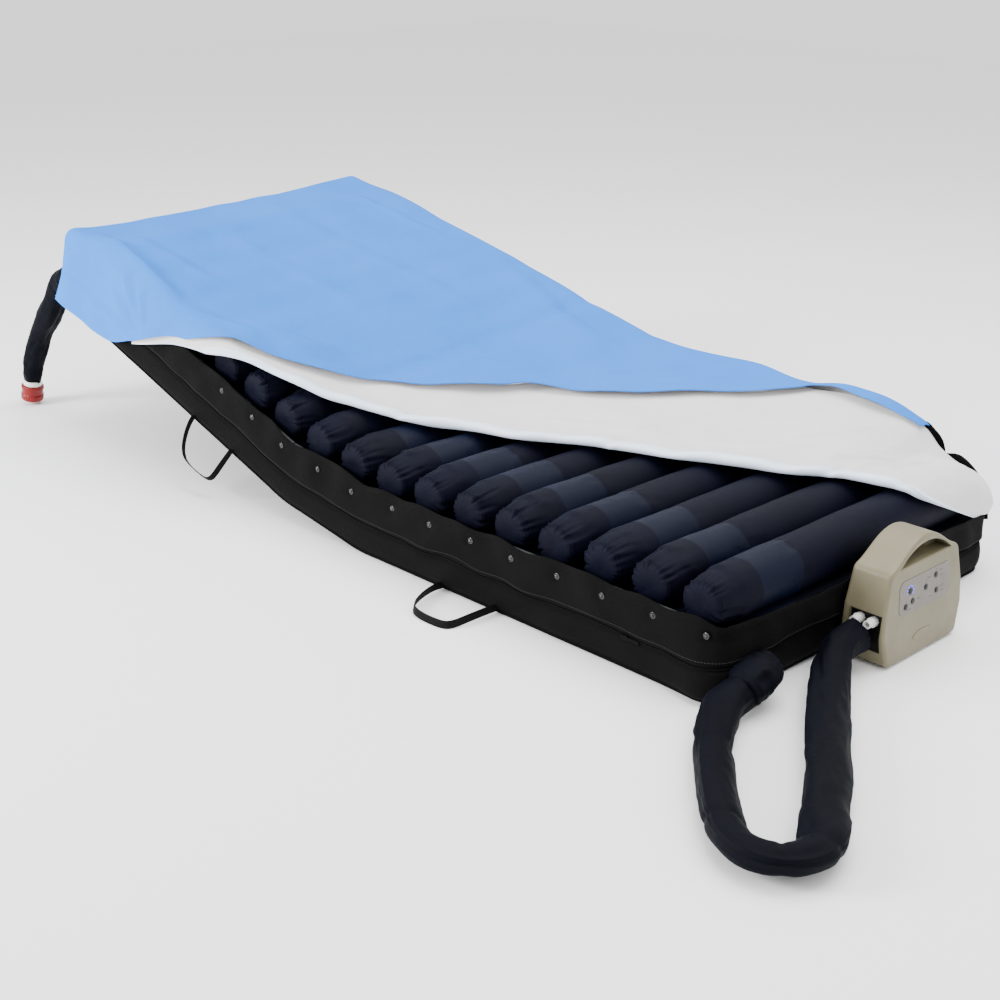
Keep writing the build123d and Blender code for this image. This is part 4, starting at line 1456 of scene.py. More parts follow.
# ---------------- top cover
@dataclass
class TopCover:
    """The blue cover, fitted over the head end and folded back over itself towards the foot.

    A point of the cover is given by how far along the mattress (a) and how far across (b) it lies
    when the skirts are laid out flat; `place` folds the skirts down.
    """

    wardrobe: Wardrobe
    thickness: float = 0.0022
    far_hem: float = 0.592
    wrap_x: float = 0.385
    wrap_radius: float = 0.057
    # Near edge of the blue cloth, as (along, across)
    hem_points: Curve = (
        (-1.80, -0.655), (-1.45, -0.655), (-1.32, -0.645), (-1.22, -0.590), (-1.06, -0.485), (-0.94, -0.435),
        (-0.78, -0.345), (-0.61, -0.185), (-0.48, -0.025), (-0.45, 0.035), (-0.38, 0.070), (-0.29, 0.115),
        (-0.13, 0.240), (-0.06, 0.300), (0.0, 0.380), (0.03, 0.410), (0.16, 0.395), (0.30, 0.410),
    )
    # Fold where the white inner side turns up
    fold_points: Curve = (
        (-1.30, -0.640), (-1.20, -0.590), (-1.06, -0.510), (-0.92, -0.455), (-0.72, -0.375), (-0.52, -0.285),
        (-0.37, -0.200), (-0.27, -0.165), (-0.17, -0.100), (0.04, -0.010), (0.11, 0.025), (0.21, 0.070),
        (0.30, 0.130), (0.37, 0.145), (0.42, 0.170), (0.45, 0.220), (0.47, 0.265), (0.512, 0.360),
    )
    # Far edge of the white side beyond the blue cloth
    far_points: Curve = (
        (-0.12, 0.50), (0.24, 0.50), (0.33, 0.47), (0.40, 0.455), (0.46, 0.445), (0.49, 0.425),
        (0.512, 0.372),
    )
    # Height of the folded layers, as (along, rise)
    crest_points: Curve = (
        (-1.56, -0.005), (-1.46, 0.005), (-1.30, 0.030), (-1.10, 0.045), (-0.90, 0.065), (-0.62, 0.080),
        (-0.44, 0.070), (-0.30, 0.060), (-0.14, 0.065), (0.0, 0.050), (0.11, 0.060), (0.21, 0.050),
        (0.27, 0.035), (0.33, -0.010), (0.38, -0.030),
    )

    def __post_init__(self) -> None:
        """Make the curves and draw the unevenness of the cloth."""
        self.hem, self.fold = track(self.hem_points), track(self.fold_points)
        self.far_edge, self.crest = track(self.far_points), track(self.crest_points)
        self.broad, self.soft, self.fine = Ripples(51, 0.42), Ripples(57, 0.16), Ripples(61, 0.05)

    def bulk(self, x: np.ndarray, y: np.ndarray) -> np.ndarray:
        """Height that the folded layers add, greatest along the far side.

        Args:
            x: places along.
            y: places across.

        Returns:
            The heights.
        """
        rise = self.crest(x)
        start = np.minimum(self.fold(x), 0.20)
        share = np.clip((y - start) / (0.425 - start), 0, 1) ** 1.35
        fall = ease((y - 0.36) / 0.085)
        return np.maximum(rise, 0) * share + np.minimum(rise, 0) * fall

    def place(self, a: np.ndarray, b: np.ndarray, lift: np.ndarray | float) -> np.ndarray:
        """Flat-lie places of cover points, lifted along the surface's own direction.

        Args:
            a: how far along.
            b: how far across, with the skirts laid flat.
            lift: distance off the surface.

        Returns:
            (..., 3) places.
        """
        r = COVER_ROUND
        side_edge, head_edge = COVER_HALF - r, COVER_HEAD + r
        dx = np.maximum(head_edge - a, 0.0)
        dy = np.maximum(np.abs(b) - side_edge, 0.0)
        depth = (dx**6 + dy**6) ** (1 / 6)
        way = np.arctan2(dy, np.maximum(dx, 1e-12))
        turn = np.minimum(depth / r, math.pi / 2)
        out = r * np.sin(turn)
        down = np.maximum(depth - r * math.pi / 2, 0.0)
        x = np.maximum(a, head_edge) - out * np.cos(way) * (dx > 0)
        y = np.clip(b, -side_edge, side_edge) + np.sign(b) * out * np.sin(way) * (dy > 0)
        raise_by = self.bulk(x, y) * np.clip(1 - down / 0.15, 0, 1)
        z = COVER_TOP - r * (1 - np.cos(turn)) - down + raise_by
        z = z - corner_sag(x, y) * np.clip(1 - down / 0.12, 0, 1)
        tuck = 0.003 * ease((down - 0.10) / 0.08)
        nx = -np.sin(turn) * np.cos(way) * (dx > 0)
        ny = np.sign(b) * np.sin(turn) * np.sin(way) * (dy > 0)
        lift = lift - tuck
        return np.stack([x + nx * lift, y + ny * lift, z + np.cos(turn) * lift], -1)

    @staticmethod
    def ridge(
        a: np.ndarray,
        b: np.ndarray,
        start: tuple[float, float],
        end: tuple[float, float],
        height: float,
        width: float,
    ) -> np.ndarray:
        """A soft fold in the cloth between two points, tapering at both ends.

        Args:
            a: places along.
            b: places across.
            start: one end, along and across.
            end: the other end.
            height: of the fold.
            width: of the fold.

        Returns:
            The lift of each place.
        """
        line = np.array(end) - np.array(start)
        length = math.hypot(*line)
        ux, uy = line / length
        along = (a - start[0]) * ux + (b - start[1]) * uy
        off = -(a - start[0]) * uy + (b - start[1]) * ux
        taper = ease(along / (0.3 * length)) * ease((length - along) / (0.3 * length))
        hollow = 0.35 * np.exp(-(((off - 1.6 * width) / width) ** 2))
        return height * taper * (np.exp(-((off / width) ** 2)) - hollow)

    def wrinkles(self, a: np.ndarray, b: np.ndarray) -> np.ndarray:
        """Lift of the blue cloth: cells felt through it, drawn folds and slack.

        Args:
            a: places along.
            b: places across.

        Returns:
            The lift of each place.
        """
        top = ease((0.45 - np.abs(b)) / 0.08)
        cells = 0.0014 * np.cos(2 * math.pi * (a - 0.385) / CELL_PITCH) * top * ease((-0.5 - a) / 0.2)
        lift = cells + 0.0030 * self.broad(a, b) + 0.0012 * self.soft(a * 0.8, b)
        for start, end, height, width in (
            ((-1.50, -0.39), (-1.02, -0.44), 0.006, 0.016),
            ((-1.47, -0.36), (-1.10, -0.30), 0.003, 0.022),
            ((-1.35, -0.50), (-1.20, -0.57), 0.004, 0.012),
            ((-1.30, -0.44), (-1.19, -0.545), 0.006, 0.010),
            ((-1.22, -0.44), (-1.18, -0.545), 0.006, 0.009),
            ((-1.19, -0.56), (-1.00, -0.44), 0.005, 0.013),
            ((-1.14, -0.47), (-0.86, -0.34), 0.004, 0.020),
            ((-1.05, -0.40), (-0.72, -0.20), 0.003, 0.026),
            ((-1.45, 0.05), (-0.70, 0.20), 0.0025, 0.030),
            ((-1.40, -0.15), (-0.85, -0.05), 0.002, 0.030),
            ((-0.95, 0.38), (-0.45, 0.30), 0.003, 0.030),
            ((-0.75, -0.10), (-0.45, 0.16), 0.003, 0.022),
            ((-1.51, -0.41), (-1.13, -0.425), 0.005, 0.012),
            ((-1.02, -0.42), (-0.80, -0.27), 0.004, 0.012),
            ((-1.50, 0.30), (-1.05, 0.36), 0.003, 0.014),
            ((-0.52, 0.02), (-0.30, 0.26), 0.003, 0.014),
            ((-0.30, 0.20), (-0.10, 0.36), 0.003, 0.012),
        ):
            lift = lift + self.ridge(a, b, start, end, 1.3 * height, max(0.8 * width, 0.0135))
        skirt = ease((-b - 0.47) / 0.03)
        lift = lift + skirt * 0.003 * self.soft(a * 1.2, b * 0.5)
        seam = np.abs(b) - (COVER_HALF - COVER_ROUND) - 0.150
        near = ease((-1.20 - a) / 0.02)
        lift = lift - 0.0058 * np.exp(-((seam / 0.0065) ** 2)) * near
        pinch = np.hypot(a + 1.205, b + 0.562)
        return lift - 0.007 * np.exp(-((pinch / 0.016) ** 2))

    def blue(self, side: Half) -> Piece:
        """Blue cloth of one half, from its near hem over the crest to its far hem.

        Args:
            side: which half.

        Returns:
            The object.
        """
        foot = side is Half.FOOT
        low = SPLIT_X if foot else COVER_HEAD + COVER_ROUND - 0.215
        high = 0.285 if foot else SPLIT_X
        a = np.linspace(low, high, 130 if foot else 185)
        v = np.linspace(0, 1, 190)
        near = self.hem(a)
        ga = np.broadcast_to(a[:, None], (len(a), len(v)))
        gb = near[:, None] + v[None, :] * (self.far_hem - near)[:, None]
        away = gb - near[:, None]
        roll = 0.0035 * np.exp(-((away / 0.010) ** 2))
        wave = 0.0045 * (1 + self.soft(ga * 1.1, gb * 0.2)) * np.exp(-((away / 0.05) ** 2))
        over_white = 0.0125 * ease((ga + 1.27) / 0.22) * ease((0.36 - ga) / 0.2)
        shelf = 0.0028 + over_white * (1 - 0.4 * ease(away / 0.3))
        sink = np.where(ga < -1.23, -0.0045, -0.0015)
        drape = np.maximum(self.wrinkles(ga, gb) * ease(away / 0.02 + 0.4), sink)
        grid = self.place(ga, gb, shelf + drape + roll + wave)
        grid[..., 2] = np.maximum(grid[..., 2], 0.004)
        piece = cloth_sheet(f"cover_blue_{side.value}", Lie.carry(grid), self.thickness)
        face_out(piece)
        return piece

    def white(self, side: Half) -> Piece:
        """The turned-up white side of one half, with the round fold along its near edge.

        Args:
            side: which half.

        Returns:
            The object.
        """
        foot = side is Half.FOOT
        low = SPLIT_X if foot else -1.222
        high = 0.512 if foot else SPLIT_X
        a = np.linspace(low, high, 190 if foot else 120)
        fold = self.fold(a)
        under = 0.025 + 0.075 * ease((a + 1.05) / 0.3)
        far = np.where(a > -0.12, self.far_edge(a), np.minimum(self.hem(a) + under, 0.44))
        far = np.maximum(far, fold + np.where(a > 0.40, 0.01, 0.05))
        radius = 0.0078 * (1 + 0.35 * self.soft(a * 1.3, 0 * a)) * ease((a + 1.27) / 0.40 + 0.12)
        for at, depth, reach in (
            (-0.515, 0.45, 0.010), (-0.115, 0.40, 0.008), (0.272, 0.5, 0.009), (0.395, 0.4, 0.010),
        ):
            radius = radius * (1 - depth * bell(a, at, reach))
        radius = radius * (1 - 0.8 * ease((a - 0.38) / 0.07))
        radius = radius * np.clip((self.hem(a) - fold) / 0.045, 0.15, 1)
        turn = np.linspace(0, math.pi, 14)
        reach_in = [radius[:, None] + 0.030 * (1 - np.linspace(0, 1, 6, endpoint=False))[None, :]]
        lifts = [np.zeros((len(a), 6))]
        reach_in.append(radius[:, None] * (1 - np.sin(turn)[None, :]))
        lifts.append(radius[:, None] * (1 - np.cos(turn)[None, :]))
        v = np.linspace(0, 1, 91)[1:] ** 1.15
        spread = (far - fold)[:, None] - radius[:, None]
        reach_in.append(radius[:, None] + v[None, :] * spread)
        settle = 2 * radius[:, None] * np.exp(-(v[None, :] * spread) / 0.045) + 0.0035
        lifts.append(np.maximum(settle, 0.0035) + 0 * v[None, :])
        offset = np.concatenate(reach_in, 1)
        lift = np.concatenate(lifts, 1)
        ga = np.broadcast_to(a[:, None], offset.shape)
        gb = fold[:, None] + offset
        slack = ease((offset - 0.02) / 0.08) * (1 - 0.6 * ease((offset - 0.2) / 0.2))
        uneven = 0.0035 * self.broad(ga * 1.5, gb * 1.5 + 3) + 0.0016 * self.soft(ga, gb + 5)
        uneven = uneven + 0.0010 * self.fine(ga, gb) * ease((ga - 0.05) / 0.2)
        for start, end, height, width in (
            ((0.10, 0.16), (0.24, 0.36), 0.005, 0.014),
            ((0.20, 0.14), (0.33, 0.30), 0.006, 0.012),
            ((0.27, 0.16), (0.36, 0.34), 0.005, 0.010),
            ((-0.05, 0.05), (0.20, 0.20), 0.004, 0.020),
            ((-0.35, -0.08), (-0.05, 0.08), 0.003, 0.020),
        ):
            uneven = uneven + self.ridge(ga, gb, start, end, 1.4 * height, 0.8 * width)
        lift = lift + np.maximum(uneven * slack, -0.003)
        grid = self.place(ga, gb, lift + 0.0006)
        r = self.wrap_radius
        beyond = np.clip(ga - self.wrap_x, 0, None)
        turn_by = np.minimum(beyond / r, math.pi / 2)
        grid[..., 0] += (r + lift) * np.sin(turn_by) - beyond
        grid[..., 2] -= (r + lift) * (1 - np.cos(turn_by)) + beyond - r * turn_by
        # The first 26 columns, round the rolled fold, take slot 2: painted light on the roll, a lighter,
        # bluish white.
        piece = cloth_sheet(f"cover_white_{side.value}", Lie.carry(grid), 0.0020, edge=26)
        face_out(piece)
        return piece

    def flap(self, name: str, points: Sequence[Point], width: float) -> None:
        """A black strip of zip tape that stands out from the far foot edge of the cover.

        Args:
            name: object name.
            points: places along its root.
            width: how far it stands out from the foot cell's axis.
        """
        t = np.linspace(0, 1, len(points))
        fine = np.linspace(0, 1, 60)
        line = np.stack([track(list(zip(t, column)))(fine) for column in np.array(points).T], 1)
        run = np.gradient(line, axis=0)
        out = np.stack([-run[:, 2], 0 * fine, run[:, 0]], 1)
        out /= np.linalg.norm(out, axis=1, keepdims=True)
        taper = (0.45 + 0.55 * np.sin(math.pi * np.clip(fine, 0.04, 0.96)) ** 0.4)[:, None]
        across = np.linspace(0, 1, 9)[None, :, None]
        grid = line[:, None] + across * (out * taper * width)[:, None]
        grid[..., 1] += 0.0025 * np.sin(fine * 11)[:, None] * across[..., 0]
        piece = cloth_sheet(name, grid, 0.0035)
        face_out(piece)
        self.wardrobe.dress(piece, BASE_CLOTH, BASE_CLOTH)
        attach(piece, Section.FOOT.value)

    def make(self) -> None:
        """Build both halves of the blue and the white cloth and the zip flaps."""
        for side in Half:
            half = side.value
            blue = self.wardrobe.dress(self.blue(side), BLUE_CLOTH, WHITE_CLOTH)
            # Slot 2 is the painted light on the rolled fold: a lighter, bluish white.
            white = self.wardrobe.dress(self.white(side), WHITE_CLOTH, BLUE_CLOTH, FOLD_PAINTED_LIGHT)
            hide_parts(f"top_cover_{half}")
            if side is Half.FOOT:
                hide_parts("top_cover_flex")
            for piece in (blue, white):
                pin(piece, side)
        upper = ((0.262, 0.438, 0.252), (0.276, 0.442, 0.243), (0.296, 0.444, 0.224), (0.316, 0.444, 0.200))
        self.flap("cover_flap_upper", upper, 0.020)
        lower = ((0.330, 0.440, 0.200), (0.350, 0.442, 0.199), (0.378, 0.440, 0.187), (0.402, 0.436, 0.166))
        self.flap("cover_flap_lower", lower + ((0.422, 0.430, 0.138), (0.434, 0.424, 0.104)), 0.016)


# ---------------- sleeves
HOSE_ROUTE: tuple[Point, ...] = (
    (0.481, -0.398, 0.038), (0.481, -0.436, 0.038), (0.490, -0.480, 0.036), (0.513, -0.522, 0.034),
    (0.540, -0.566, 0.032), (0.573, -0.611, 0.032), (0.609, -0.654, 0.032), (0.642, -0.692, 0.032),
    (0.676, -0.728, 0.032), (0.715, -0.765, 0.032), (0.760, -0.787, 0.032), (0.808, -0.775, 0.032),
    (0.832, -0.731, 0.032), (0.822, -0.684, 0.032), (0.790, -0.636, 0.032), (0.760, -0.588, 0.032),
    (0.731, -0.539, 0.032), (0.700, -0.492, 0.032), (0.668, -0.446, 0.032), (0.637, -0.399, 0.032),
    (0.606, -0.351, 0.033), (0.575, -0.304, 0.035), (0.548, -0.260, 0.041), (0.525, -0.218, 0.051),
    (0.51225, -0.178, 0.060), (0.51225, -0.138, 0.060),
)
RELEASE_ROUTE: tuple[Point, ...] = (
    (-1.5620, -0.405, 0.3628), (-1.5937, -0.405, 0.3503), (-1.614, -0.406, 0.320), (-1.634, -0.407, 0.284),
    (-1.666, -0.409, 0.246), (-1.700, -0.411, 0.206), (-1.723, -0.412, 0.166), (-1.743, -0.413, 0.128),
    (-1.754, -0.414, 0.094), (-1.759, -0.415, 0.060),
)


def spline_points(name: str, route: Sequence[Point], count: int) -> np.ndarray:
    """Points evenly along the NURBS line whose control points are a route.

    Args:
        name: name of the passing curve.
        route: control points.
        count: number of points to return.

    Returns:
        (count, 3) places.
    """
    curve = bpy.data.curves.new(name, "CURVE")
    curve.dimensions = "3D"
    curve.resolution_u = 24
    spline = curve.splines.new("NURBS")
    spline.points.add(len(route) - 1)
    for point, place in zip(spline.points, route):
        point.co = (*place, 1.0)
    spline.order_u = 3
    spline.use_endpoint_u = True
    holder = bpy.data.objects.new(name, curve)
    bpy.context.scene.collection.objects.link(holder)
    mesh = bpy.data.meshes.new_from_object(holder)
    co = np.array([v.co[:] for v in mesh.vertices])
    bpy.data.objects.remove(holder)
    bpy.data.meshes.remove(mesh)
    along = np.concatenate([[0], np.cumsum(np.linalg.norm(np.diff(co, axis=0), axis=1))])
    at = np.linspace(0, along[-1], count)
    return np.stack([np.interp(at, along, co[:, k]) for k in range(3)], 1)


@dataclass
class Sleeves:
    """The hose sleeve with its cuff, and the release sleeve with its boot and valve."""

    wardrobe: Wardrobe
    hose_rings: int = 520
    cuff_rings: int = 70
    release_rings: int = 200
    boot_rings: int = 32
    boot_radius: float = 0.0285
    cuff_points: Sequence[Point] = (
        (0.440, -0.334, 0.048), (0.478, -0.326, 0.062), (0.484, -0.372, 0.054), (0.482, -0.418, 0.040),
    )
    valve_profile: Curve = (
        (-0.004, 0), (-0.004, 0.0215), (0.0, 0.0238), (0.003, 0.0242), (0.0072, 0.0238), (0.0088, 0.0225),
        (0.0090, 0.0150), (0.0236, 0.0145), (0.0236, 0),
    )
    cap_profile: Curve = (
        (0.0093, 0), (0.0093, 0.0255), (0.0100, 0.0280), (0.0118, 0.0288), (0.0145, 0.0290),
        (0.0165, 0.0290), (0.0170, 0.0276), (0.0182, 0.0273), (0.0300, 0.0273), (0.0312, 0.0276),
        (0.0318, 0.0289), (0.0380, 0.0290), (0.0440, 0.0288), (0.0475, 0.0272), (0.0491, 0.0240),
        (0.0493, 0.0150), (0.0482, 0.0135), (0.0480, 0),
    )

    @staticmethod
    def cloth_section(
        count: int,
        length: float,
        wide: np.ndarray,
        tall: np.ndarray,
        tilt: np.ndarray,
        seed: int,
        crush: float,
        lengthwise: float = 1.0,
        lens: float = 0.0,
    ) -> np.ndarray:
        """Sections of a slack cloth tube, a tilted oval with pleats and crinkles.

        Args:
            count: number of sections.
            length: of the tube.
            wide: half width of each section.
            tall: half height of each section.
            tilt: turn of each section about the line.
            seed: of the crinkles.
            crush: depth of the crinkles as a share of the half width.
            lengthwise: below 1 the crinkles run along the tube.
            lens: 0 for an oval, more for a section with sharper edges.

        Returns:
            (count, around, 2) offsets.
        """
        angle = np.linspace(0, 2 * math.pi, 88, endpoint=False)
        s = np.linspace(0, length, count)[:, None]
        around = angle[None, :]
        drift = Ripples(seed, 0.30)(s, 0 * s)
        crinkle = 0.6 * Ripples(seed + 1, 0.050)(s * lengthwise, around * 0.030)
        crinkle = crinkle + 0.4 * Ripples(seed + 2, 0.026)(s * lengthwise * 1.3, around * 0.024)
        pleat = np.cos(3 * around + 2.2 * drift) + 0.6 * np.cos(5 * around - 3.0 * drift + 1.0)
        gain = 1 - 0.045 * pleat - crush * np.abs(crinkle) + 0.35 * crush * crinkle
        seam = 0.05 * np.exp(-((np.angle(np.exp(1j * (around - 0.5))) / 0.10) ** 2))
        x = wide[:, None] * np.sign(np.cos(around)) * np.abs(np.cos(around)) ** 0.9 * (gain + seam)
        y = tall[:, None] * np.sin(around) * np.abs(np.sin(around) + 1e-9) ** lens * gain
        c, t = np.cos(tilt)[:, None], np.sin(tilt)[:, None]
        return np.stack([x * c - y * t, x * t + y * c], -1)

    def hose(self) -> None:
        """The limp sleeve round the two air hoses, lying in a loop on the floor."""
        count = self.hose_rings
        line = spline_points("hose_line", HOSE_ROUTE, count)
        length = float(np.linalg.norm(np.diff(line, axis=0), axis=1).sum())
        u = np.linspace(0, 1, count)
        widths = ((0, 0.033), (0.06, 0.034), (0.2, 0.0365), (0.42, 0.0365), (0.52, 0.0375), (0.64, 0.038))
        wide = track(widths + ((0.78, 0.038), (0.88, 0.035), (0.94, 0.030), (0.97, 0.033), (1, 0.034)))(u)
        heights = ((0, 0.030), (0.08, 0.026), (0.2, 0.0235), (0.8, 0.0235), (0.92, 0.026), (1, 0.030))
        tall = track(heights)(u)
        tilt = track([(0, 0.2), (0.2, 0.55), (0.45, 0.30), (0.6, -0.35), (0.85, -0.30), (1, 0.3)])(u)
        offsets = self.cloth_section(count, length, wide, tall, tilt, 71, 0.07, 0.28, 0.22)
        for at, depth, reach in (
            (0.16, 0.07, 0.010), (0.335, 0.10, 0.006), (0.43, 0.09, 0.007), (0.485, 0.08, 0.006),
        ):
            offsets *= (1 - depth * bell(u, at, reach))[:, None, None]
        side, rise = frames_along(line)
        low = (line[:, None] + offsets[..., :1] * side[:, None] + offsets[..., 1:] * rise[:, None])[..., 2]
        offsets[..., 1] += np.maximum(0.0012 - low, 0)
        piece = tube("hose_sleeve_cloth", line, offsets)
        self.wardrobe.dress(piece, SLEEVE_CLOTH)
        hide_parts("hose_sleeve")
        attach(piece, Section.FOOT.value)

    def cuff(self) -> None:
        """The puffed cloth hood where the hoses leave the mattress."""
        t = np.linspace(0, 1, self.cuff_rings)
        controls = np.array(self.cuff_points)
        b = [(1 - t) ** 3, 3 * t * (1 - t) ** 2, 3 * t * t * (1 - t), t**3]
        line = sum(w[:, None] * p for w, p in zip(b, controls))
        wide = 0.022 + 0.016 * ease(t / 0.7) - 0.003 * ease((t - 0.88) / 0.12)
        tall = 0.022 + 0.014 * ease(t / 0.7) - 0.003 * ease((t - 0.88) / 0.12)
        offsets = self.cloth_section(self.cuff_rings, 0.11, wide, tall, 0 * t + 0.1, 91, 0.13)
        piece = tube("hose_cuff_cloth", line, offsets)
        self.wardrobe.dress(piece, SLEEVE_CLOTH)
        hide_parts("hose_cuff")
        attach(piece, Section.FOOT.value)

    def release(self) -> None:
        """The gathered sleeve that hangs from the head end, with the red release valve."""
        count = self.release_rings
        line = spline_points("release_line", RELEASE_ROUTE, count)
        length = float(np.linalg.norm(np.diff(line, axis=0), axis=1).sum())
        u = np.linspace(0, 1, count)
        full = 0.0040 * np.sin(math.pi * np.clip(u / 0.8, 0, 1))
        wide = 0.0258 + full + 0.0018 * np.sin(u * 19)
        tall = 0.0258 + full + 0.0014 * np.sin(u * 15 + 2.5)
        draw = 1 - 0.16 * ease((u - 0.93) / 0.07)
        tilt = 0.4 * np.sin(u * 4)
        offsets = self.cloth_section(count, length, wide * draw, tall * draw, tilt, 83, 0.10, 0.35)
        piece = tube("release_sleeve_cloth", line, offsets, up=(0.0, 1.0, 0.0))
        self.wardrobe.dress(piece, SLEEVE_CLOTH)
        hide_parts("release_sleeve")
        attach(piece, Section.HEAD.value)
        mouth = line[0]
        root = Lie.carry(np.array([[HEAD_X + 0.004, -0.405, 0.030]]), Section.HEAD)[0]
        t = np.linspace(0, 1, self.boot_rings - 2)[:, None]
        hood = root + (mouth - root) * t
        hood = np.concatenate([hood, mouth + (line[6] - line[0])[None, :] * np.array([[0.6], [1.0]])])
        same = np.full(self.boot_rings, self.boot_radius)
        side = self.cloth_section(self.boot_rings, 0.06, same, same, 0 * same, 97, 0.06)
        boot = tube("release_boot_cloth", hood, side, up=(0.0, 1.0, 0.0))
        self.wardrobe.dress(boot, SLEEVE_CLOTH)
        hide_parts("release_boot")
        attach(boot, Section.HEAD.value)
        end = np.array(RELEASE_ROUTE[-1])
        down = end - np.array(RELEASE_ROUTE[-2])
        down /= np.linalg.norm(down)
        valve = lathe("release_valve_body", tuple(end), tuple(down), self.valve_profile, 48)
        self.wardrobe.dress(valve, CONNECTOR_WHITE)
        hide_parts("release_valve")
        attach(valve, Section.HEAD.value)

        def ribs(angle: np.ndarray, h: np.ndarray) -> np.ndarray:
            """Grip ribs of the cap's two bands, sunk by up to 1 mm."""
            bands = (h > 0.031) & (h < 0.046) | (h > 0.0110) & (h < 0.0162)
            return -0.0010 * (0.5 + 0.5 * np.cos(24 * angle)) * bands

        cap = lathe("release_cap_body", tuple(end), tuple(down), self.cap_profile, 144, ribs=ribs)
        self.wardrobe.dress(cap, VALVE_RED)
        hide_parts("release_cap")
        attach(cap, "release_cap")

    def make(self) -> None:
        """Build both sleeves."""
        self.hose()
        self.cuff()
        self.release()


# ---------------- pump
@dataclass
class Pump:
    """Materials for the pump's CAD pieces and the marks and lights of its panel."""

    wardrobe: Wardrobe
    nodes: dict[str, Piece]
    lean: float = math.radians(5.0)
    panel_level: float = 0.122
    front_x: float = 0.565
    middle_y: float = 0.005
    led_count: int = 7
    led_radius: float = 0.0095

    PLACES = {
        "up": (-0.049, 0.009), "down": (-0.040, -0.012), "lock": (-0.062, -0.017),
        "mode": (0.002, 0.002), "static": (0.034, 0.016), "mute": (0.038, -0.014),
    }
    FINISHES = (
        (PUMP_SHELL, ("pump_front_case", "pump_rear_case")),
        (PANEL_FILM, ("control_panel",)),
        (PLATE_BLACK, ("connector_plate", "power_inlet", "power_switch")),
        (CONNECTOR_WHITE, ("hose_connectors",)),
        (FOOT_RUBBER, ("pump_feet",)),
        (SCREW_METAL, ("pump_screws",)),
        (MOTOR_METAL, ("compressor",)),
        (BOARD_RESIN, ("circuit_board",)),
        (HOOK_NYLON, ("hook_near", "hook_far")),
        (BUTTON_RUBBER, ("button_pressure_up", "button_pressure_down", "button_lock")),
        (BUTTON_RUBBER, ("button_mode", "button_static", "button_alarm_mute")),
        (AIR_TUBE, ("air_line_foot", "air_line_flex", "air_line_head")),
        (ZIP_COIL, ("zip_slider",)),
    )

    @property
    def facing(self) -> Point:
        """Outward direction of the panel."""
        return (math.cos(self.lean), 0.0, math.sin(self.lean))

    def on_panel(self, across: float, up: float, proud: float) -> Point:
        """A point over the panel, from its middle.

        Args:
            across: distance towards the far side.
            up: distance up the panel.
            proud: distance off it.

        Returns:
            The place.
        """
        c, s = math.cos(self.lean), math.sin(self.lean)
        along = (self.panel_level - 0.003) / c + up
        x = self.front_x - along * s + proud * c
        z = 0.003 + along * c + proud * s
        return (x, self.middle_y + across, z)

    def dot(self, name: str, across: float, up: float, radius: float, proud: float) -> Piece:
        """A small round mark or lens on the panel.

        Args:
            name: object name.
            across: its place across the panel.
            up: its place up the panel.
            radius: of the mark.
            proud: how far it stands out.

        Returns:
            The object.
        """
        profile = [(-0.0002, 0), (-0.0002, radius), (proud * 0.5, radius), (proud, radius * 0.7), (proud, 0)]
        return lathe(name, self.on_panel(across, up, 0.0006), self.facing, profile, 20)

    def printed(self, name: str, spots: Curve, proud: float, thick: tuple[float, float]) -> Piece:
        """A thin printed line through places on the panel.

        Args:
            name: object name.
            spots: places across and up the panel.
            proud: distance off it.
            thick: half width and half height of the line.

        Returns:
            The object.
        """
        line = np.array([self.on_panel(across, up, proud) for across, up in spots])
        angle = np.linspace(0, 2 * math.pi, 8, endpoint=False)
        section = np.stack([np.cos(angle) * thick[0], np.sin(angle) * thick[1]], 1)
        return tube(name, line, np.tile(section[None], (len(line), 1, 1)), up=self.facing)

    def ring(self, across: float, up: float, radius: float, thick: float) -> Piece:
        """A thin printed ring on the panel, a hair short of closed.

        Args:
            across: its place across the panel.
            up: its place up the panel.
            radius: of the ring.
            thick: half width of its line.

        Returns:
            The object.
        """
        turns = np.linspace(0, 2 * math.pi * 0.98, 40)
        spots = [(across + radius * math.cos(v), up + radius * math.sin(v)) for v in turns]
        return self.printed("mark", spots, 0.0007, (thick, thick * 0.4))

    def make(self) -> None:
        """Dress the CAD nodes and add the panel's marks."""
        for finish, names in self.FINISHES:
            for node in names:
                self.wardrobe.dress(self.nodes[node], finish)
        lights, marks = [], []
        cx, cy = self.PLACES["up"]
        for k in range(self.led_count):
            turn = math.radians(200 - k * 38)
            px, py = cx + self.led_radius * math.cos(turn), cy + self.led_radius * math.sin(turn)
            lights.append(self.dot("led", px, py, 0.0013, 0.0006))
        marks.append(self.ring(cx, cy, 0.0066, 0.0009))
        for name, (px, py) in self.PLACES.items():
            if name != "up":
                marks.append(self.ring(px, py, 0.0060, 0.0004))
            marks.append(self.dot("mark", px + 0.001, py + 0.0105, 0.0009, 0.0003))
        for px, py, width in (
            (0.050, 0.021, 0.016), (0.052, 0.011, 0.010), (0.055, -0.010, 0.018), (0.056, -0.019, 0.012),
            (-0.020, -0.012, 0.010), (-0.050, -0.025, 0.014), (0.012, 0.018, 0.012), (0.020, -0.020, 0.010),
        ):
            spots = [(across, py) for across in np.linspace(px - width / 2, px + width / 2, 6)]
            marks.append(self.printed("mark", spots, 0.0006, (0.0006, 0.0002)))
        glow = self.wardrobe.dress(join("pressure_leds", lights), LED_BLUE)
        prints = self.wardrobe.dress(join("panel_marks", marks), PRINT_DARK)
        for piece in (glow, prints):
            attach(piece, Section.FOOT.value)


